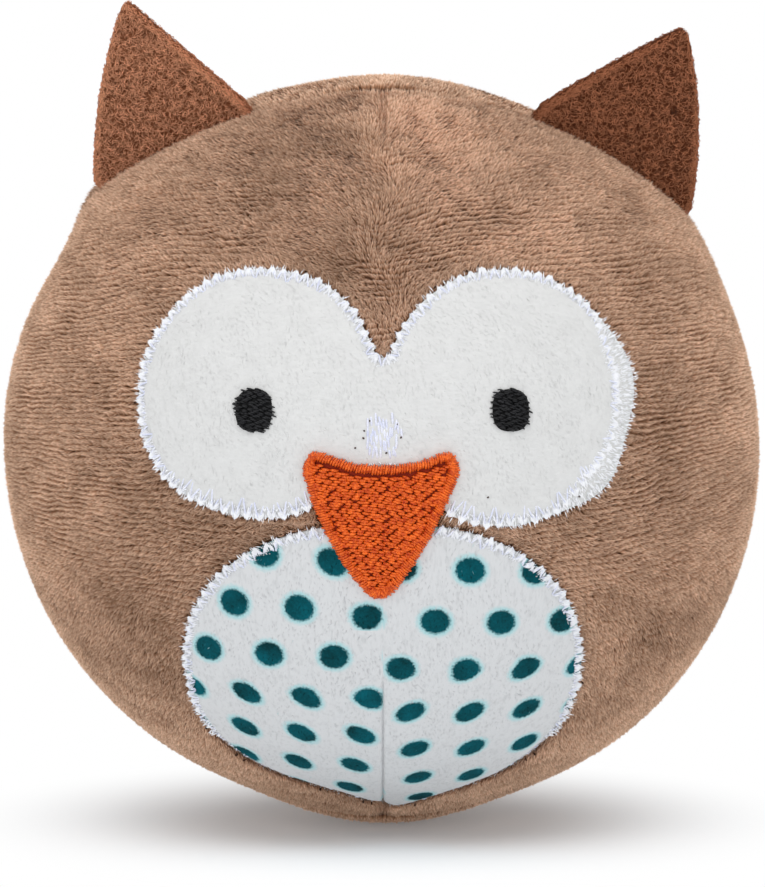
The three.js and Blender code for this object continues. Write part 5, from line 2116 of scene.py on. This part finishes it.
def photo_camera():
    """The photograph's camera: a little above the ball, and far enough away for its flat perspective."""
    camera = bpy.data.objects.new("camera", bpy.data.cameras.new("camera"))
    bpy.context.scene.collection.objects.link(camera)
    tilt = math.radians(CAMERA_ELEVATION)
    backwards = np.array([0.0, -math.cos(tilt), math.sin(tilt)])
    upwards = np.array([0.0, math.sin(tilt), math.cos(tilt)])
    middle = ((PHOTO_WIDTH / 2, PHOTO_HEIGHT / 2) - np.array(BALL_PIXEL)) * MM_PER_PIXEL
    aim = BALL_CENTRE + np.array([middle[0], 0, 0]) - upwards * middle[1]
    camera.location = Vector((aim + backwards * CAMERA_DISTANCE) * MM)
    camera.rotation_euler = (math.radians(90) - tilt, 0, 0)
    camera.data.sensor_width = SENSOR_WIDTH
    camera.data.lens = SENSOR_WIDTH * CAMERA_DISTANCE / (PHOTO_HEIGHT * MM_PER_PIXEL)
    camera.data.clip_start = 0.01
    camera.data.clip_end = 20.0
    bpy.context.scene.camera = camera


def soft_lamp(name, place, size, power):
    """A square soft box at a place in metres, of a size in metres and a power in watts, turned to the toy."""
    lamp = bpy.data.objects.new(name, bpy.data.lights.new(name, "AREA"))
    bpy.context.scene.collection.objects.link(lamp)
    lamp.data.size = size
    lamp.data.energy = power
    lamp.location = place
    lamp.rotation_euler = (Vector(place) - Vector(LAMP_AIM)).to_track_quat("Z", "Y").to_euler()


def white_world(strength):
    """Even light from all round, which the camera sees as white."""
    world = bpy.data.worlds.new("studio")
    bpy.context.scene.world = world
    world.use_nodes = True
    nodes, links = world.node_tree.nodes, world.node_tree.links
    background = nodes["Background"]
    background.inputs["Color"].default_value = WHITE
    background.inputs["Strength"].default_value = strength
    seen = nodes.new("ShaderNodeBackground")
    seen.inputs["Color"].default_value = WHITE
    rays, choice = nodes.new("ShaderNodeLightPath"), nodes.new("ShaderNodeMixShader")
    links.new(rays.outputs["Is Camera Ray"], choice.inputs[0])
    links.new(background.outputs[0], choice.inputs[1])
    links.new(seen.outputs[0], choice.inputs[2])
    links.new(choice.outputs[0], nodes["World Output"].inputs["Surface"])


def pale_floor():
    """A white floor that fades to plain white away from the toy."""
    bpy.ops.mesh.primitive_plane_add(size=6.0)
    floor = bpy.context.object
    floor.name = "floor"
    finish = Finish("floor", Roughness=1.0, Base_Color=FLOOR_COLOUR, Specular_IOR_Level=0.0)
    finish.set(Emission_Color=WHITE, Emission_Strength=FLOOR_GLOW)
    tree = finish.tree
    away = finish.node("VectorMath", {"operation": "LENGTH"}, outlet="Value", in_0=finish.place())
    far = finish.fade(away, *FLOOR_FADE)
    seen = finish.node("LightPath", outlet="Is Camera Ray")
    white = tree.nodes.new("ShaderNodeEmission")
    choice = tree.nodes.new("ShaderNodeMixShader")
    feed(tree, choice.inputs[0], far * seen)
    tree.links.new(finish.shader.outputs[0], choice.inputs[1])
    tree.links.new(white.outputs[0], choice.inputs[2])
    tree.links.new(choice.outputs[0], tree.nodes["Material Output"].inputs["Surface"])
    floor.data.materials.append(finish.material)


bpy.context.scene.view_settings.view_transform = "Standard"
photo_camera()
white_world(strength=0.62)
soft_lamp("top_lamp", (0.0, -0.25, 0.75), size=0.7, power=2.4)
soft_lamp("left_lamp", (-0.7, -0.7, 0.35), size=0.6, power=1.9)
soft_lamp("right_lamp", (0.8, -0.6, 0.3), size=0.6, power=1.5)
pale_floor()

brown_strands = brown_pile_finish()
# The brown ground is painted dark: its own brown, and painted shade under the pile
brown_ground = cloth_finish("brown_ground", colour(84, 56, 40), colour(128, 90, 66))
# Each thread's dark end is painted shade and its light end a painted highlight; the white thread's shade is
# lilac
white_thread = thread_finish("white_thread", colour(200, 205, 229), colour(240, 241, 249), 0.6)
black_thread = thread_finish("black_thread", colour(4, 4, 5), colour(34, 34, 37), 0.35)
# Grounds under the embroidery: painted shade between the stitches, over the pupils' own black
black_shade_ground = thread_finish("black_shade_ground", colour(3, 3, 4), colour(8, 8, 9), 0.7)
orange_thread = thread_finish("orange_thread", colour(164, 30, 0), colour(255, 122, 40), 0.4, 0.2, 0.7)
orange_shade_ground = thread_finish("orange_shade_ground", colour(120, 24, 0), colour(156, 44, 6), 0.7)
# painted shade: the dark colour of the needle holes
hole_shade = thread_finish("needle_hole_shade", colour(40, 24, 16), colour(70, 44, 32), 0.9)
brown_thread = thread_finish("brown_thread", colour(110, 78, 58), colour(150, 112, 86), 0.5)
light_felt = felt_finish("light_felt", colour(84, 42, 24), colour(132, 80, 54))
light_fibre = felt_fibre_finish("light_fibre", colour(136, 82, 56), colour(204, 144, 110))
dark_felt = felt_finish("dark_felt", colour(60, 28, 14), colour(98, 54, 32))
dark_fibre = felt_fibre_finish("dark_fibre", colour(104, 58, 36), colour(164, 106, 76))
fleece = cloth_finish("fleece", colour(214, 211, 202), colour(240, 238, 230), thread=0.6)
clear_plastic = plastic_finish("clear_plastic", colour(224, 230, 234), colour(212, 220, 226), 0.3, clear=0.6)
hard_plastic = plastic_finish("hard_plastic", colour(236, 236, 232), colour(226, 226, 222), 0.25)

cover("front_cover", "front_panel", FRONT, brown_ground)
cover("back_cover", "back_panel", BACK, brown_ground)
front_pile(brown_strands)
back_pile(brown_strands)
mask_teeth = zigzag(
    "mask_stitches",
    "face_mask_stitching",
    MASK,
    mask_stitch_offset,
    mask_reach_in,
    reach_out=0.62,
    finish=white_thread,
    seed=171,
)
belly_teeth = zigzag(
    "belly_stitches",
    "belly_patch_stitching",
    BELLY,
    belly_stitch_offset,
    belly_reach_in,
    reach_out=0.55,
    finish=white_thread,
    seed=172,
)
needle_holes("needle_holes", [mask_teeth, belly_teeth], hole_shade, 173)
lit_edge_fibre = edge_fibre_finish()
mask(white_cloth_finish(), white_pile_finish(), lit_edge_fibre, mask_teeth)
belly(dotted_cloth_finish(), dotted_pile_finish(), lit_edge_fibre, belly_teeth)
bridge(white_thread)
beak(orange_thread, orange_shade_ground)
pupils(black_thread, black_shade_ground)
ear("left_ear_felt", "left_ear", -1, LEFT_EAR_MIDDLE, light_felt, light_fibre, "light_felt")
ear("right_ear_felt", "right_ear", 1, RIGHT_EAR_MIDDLE, dark_felt, dark_fibre, "dark_felt")
loose_fibre = loose_fibre_finish()
stuffing("front_filling", "front_stuffing", FRONT, loose_fibre)
stuffing("back_filling", "back_stuffing", BACK, loose_fibre)
seam_stitches(brown_thread)
backing(fleece)
squeaker(clear_plastic, hard_plastic)

bpy.context.view_layer.update()
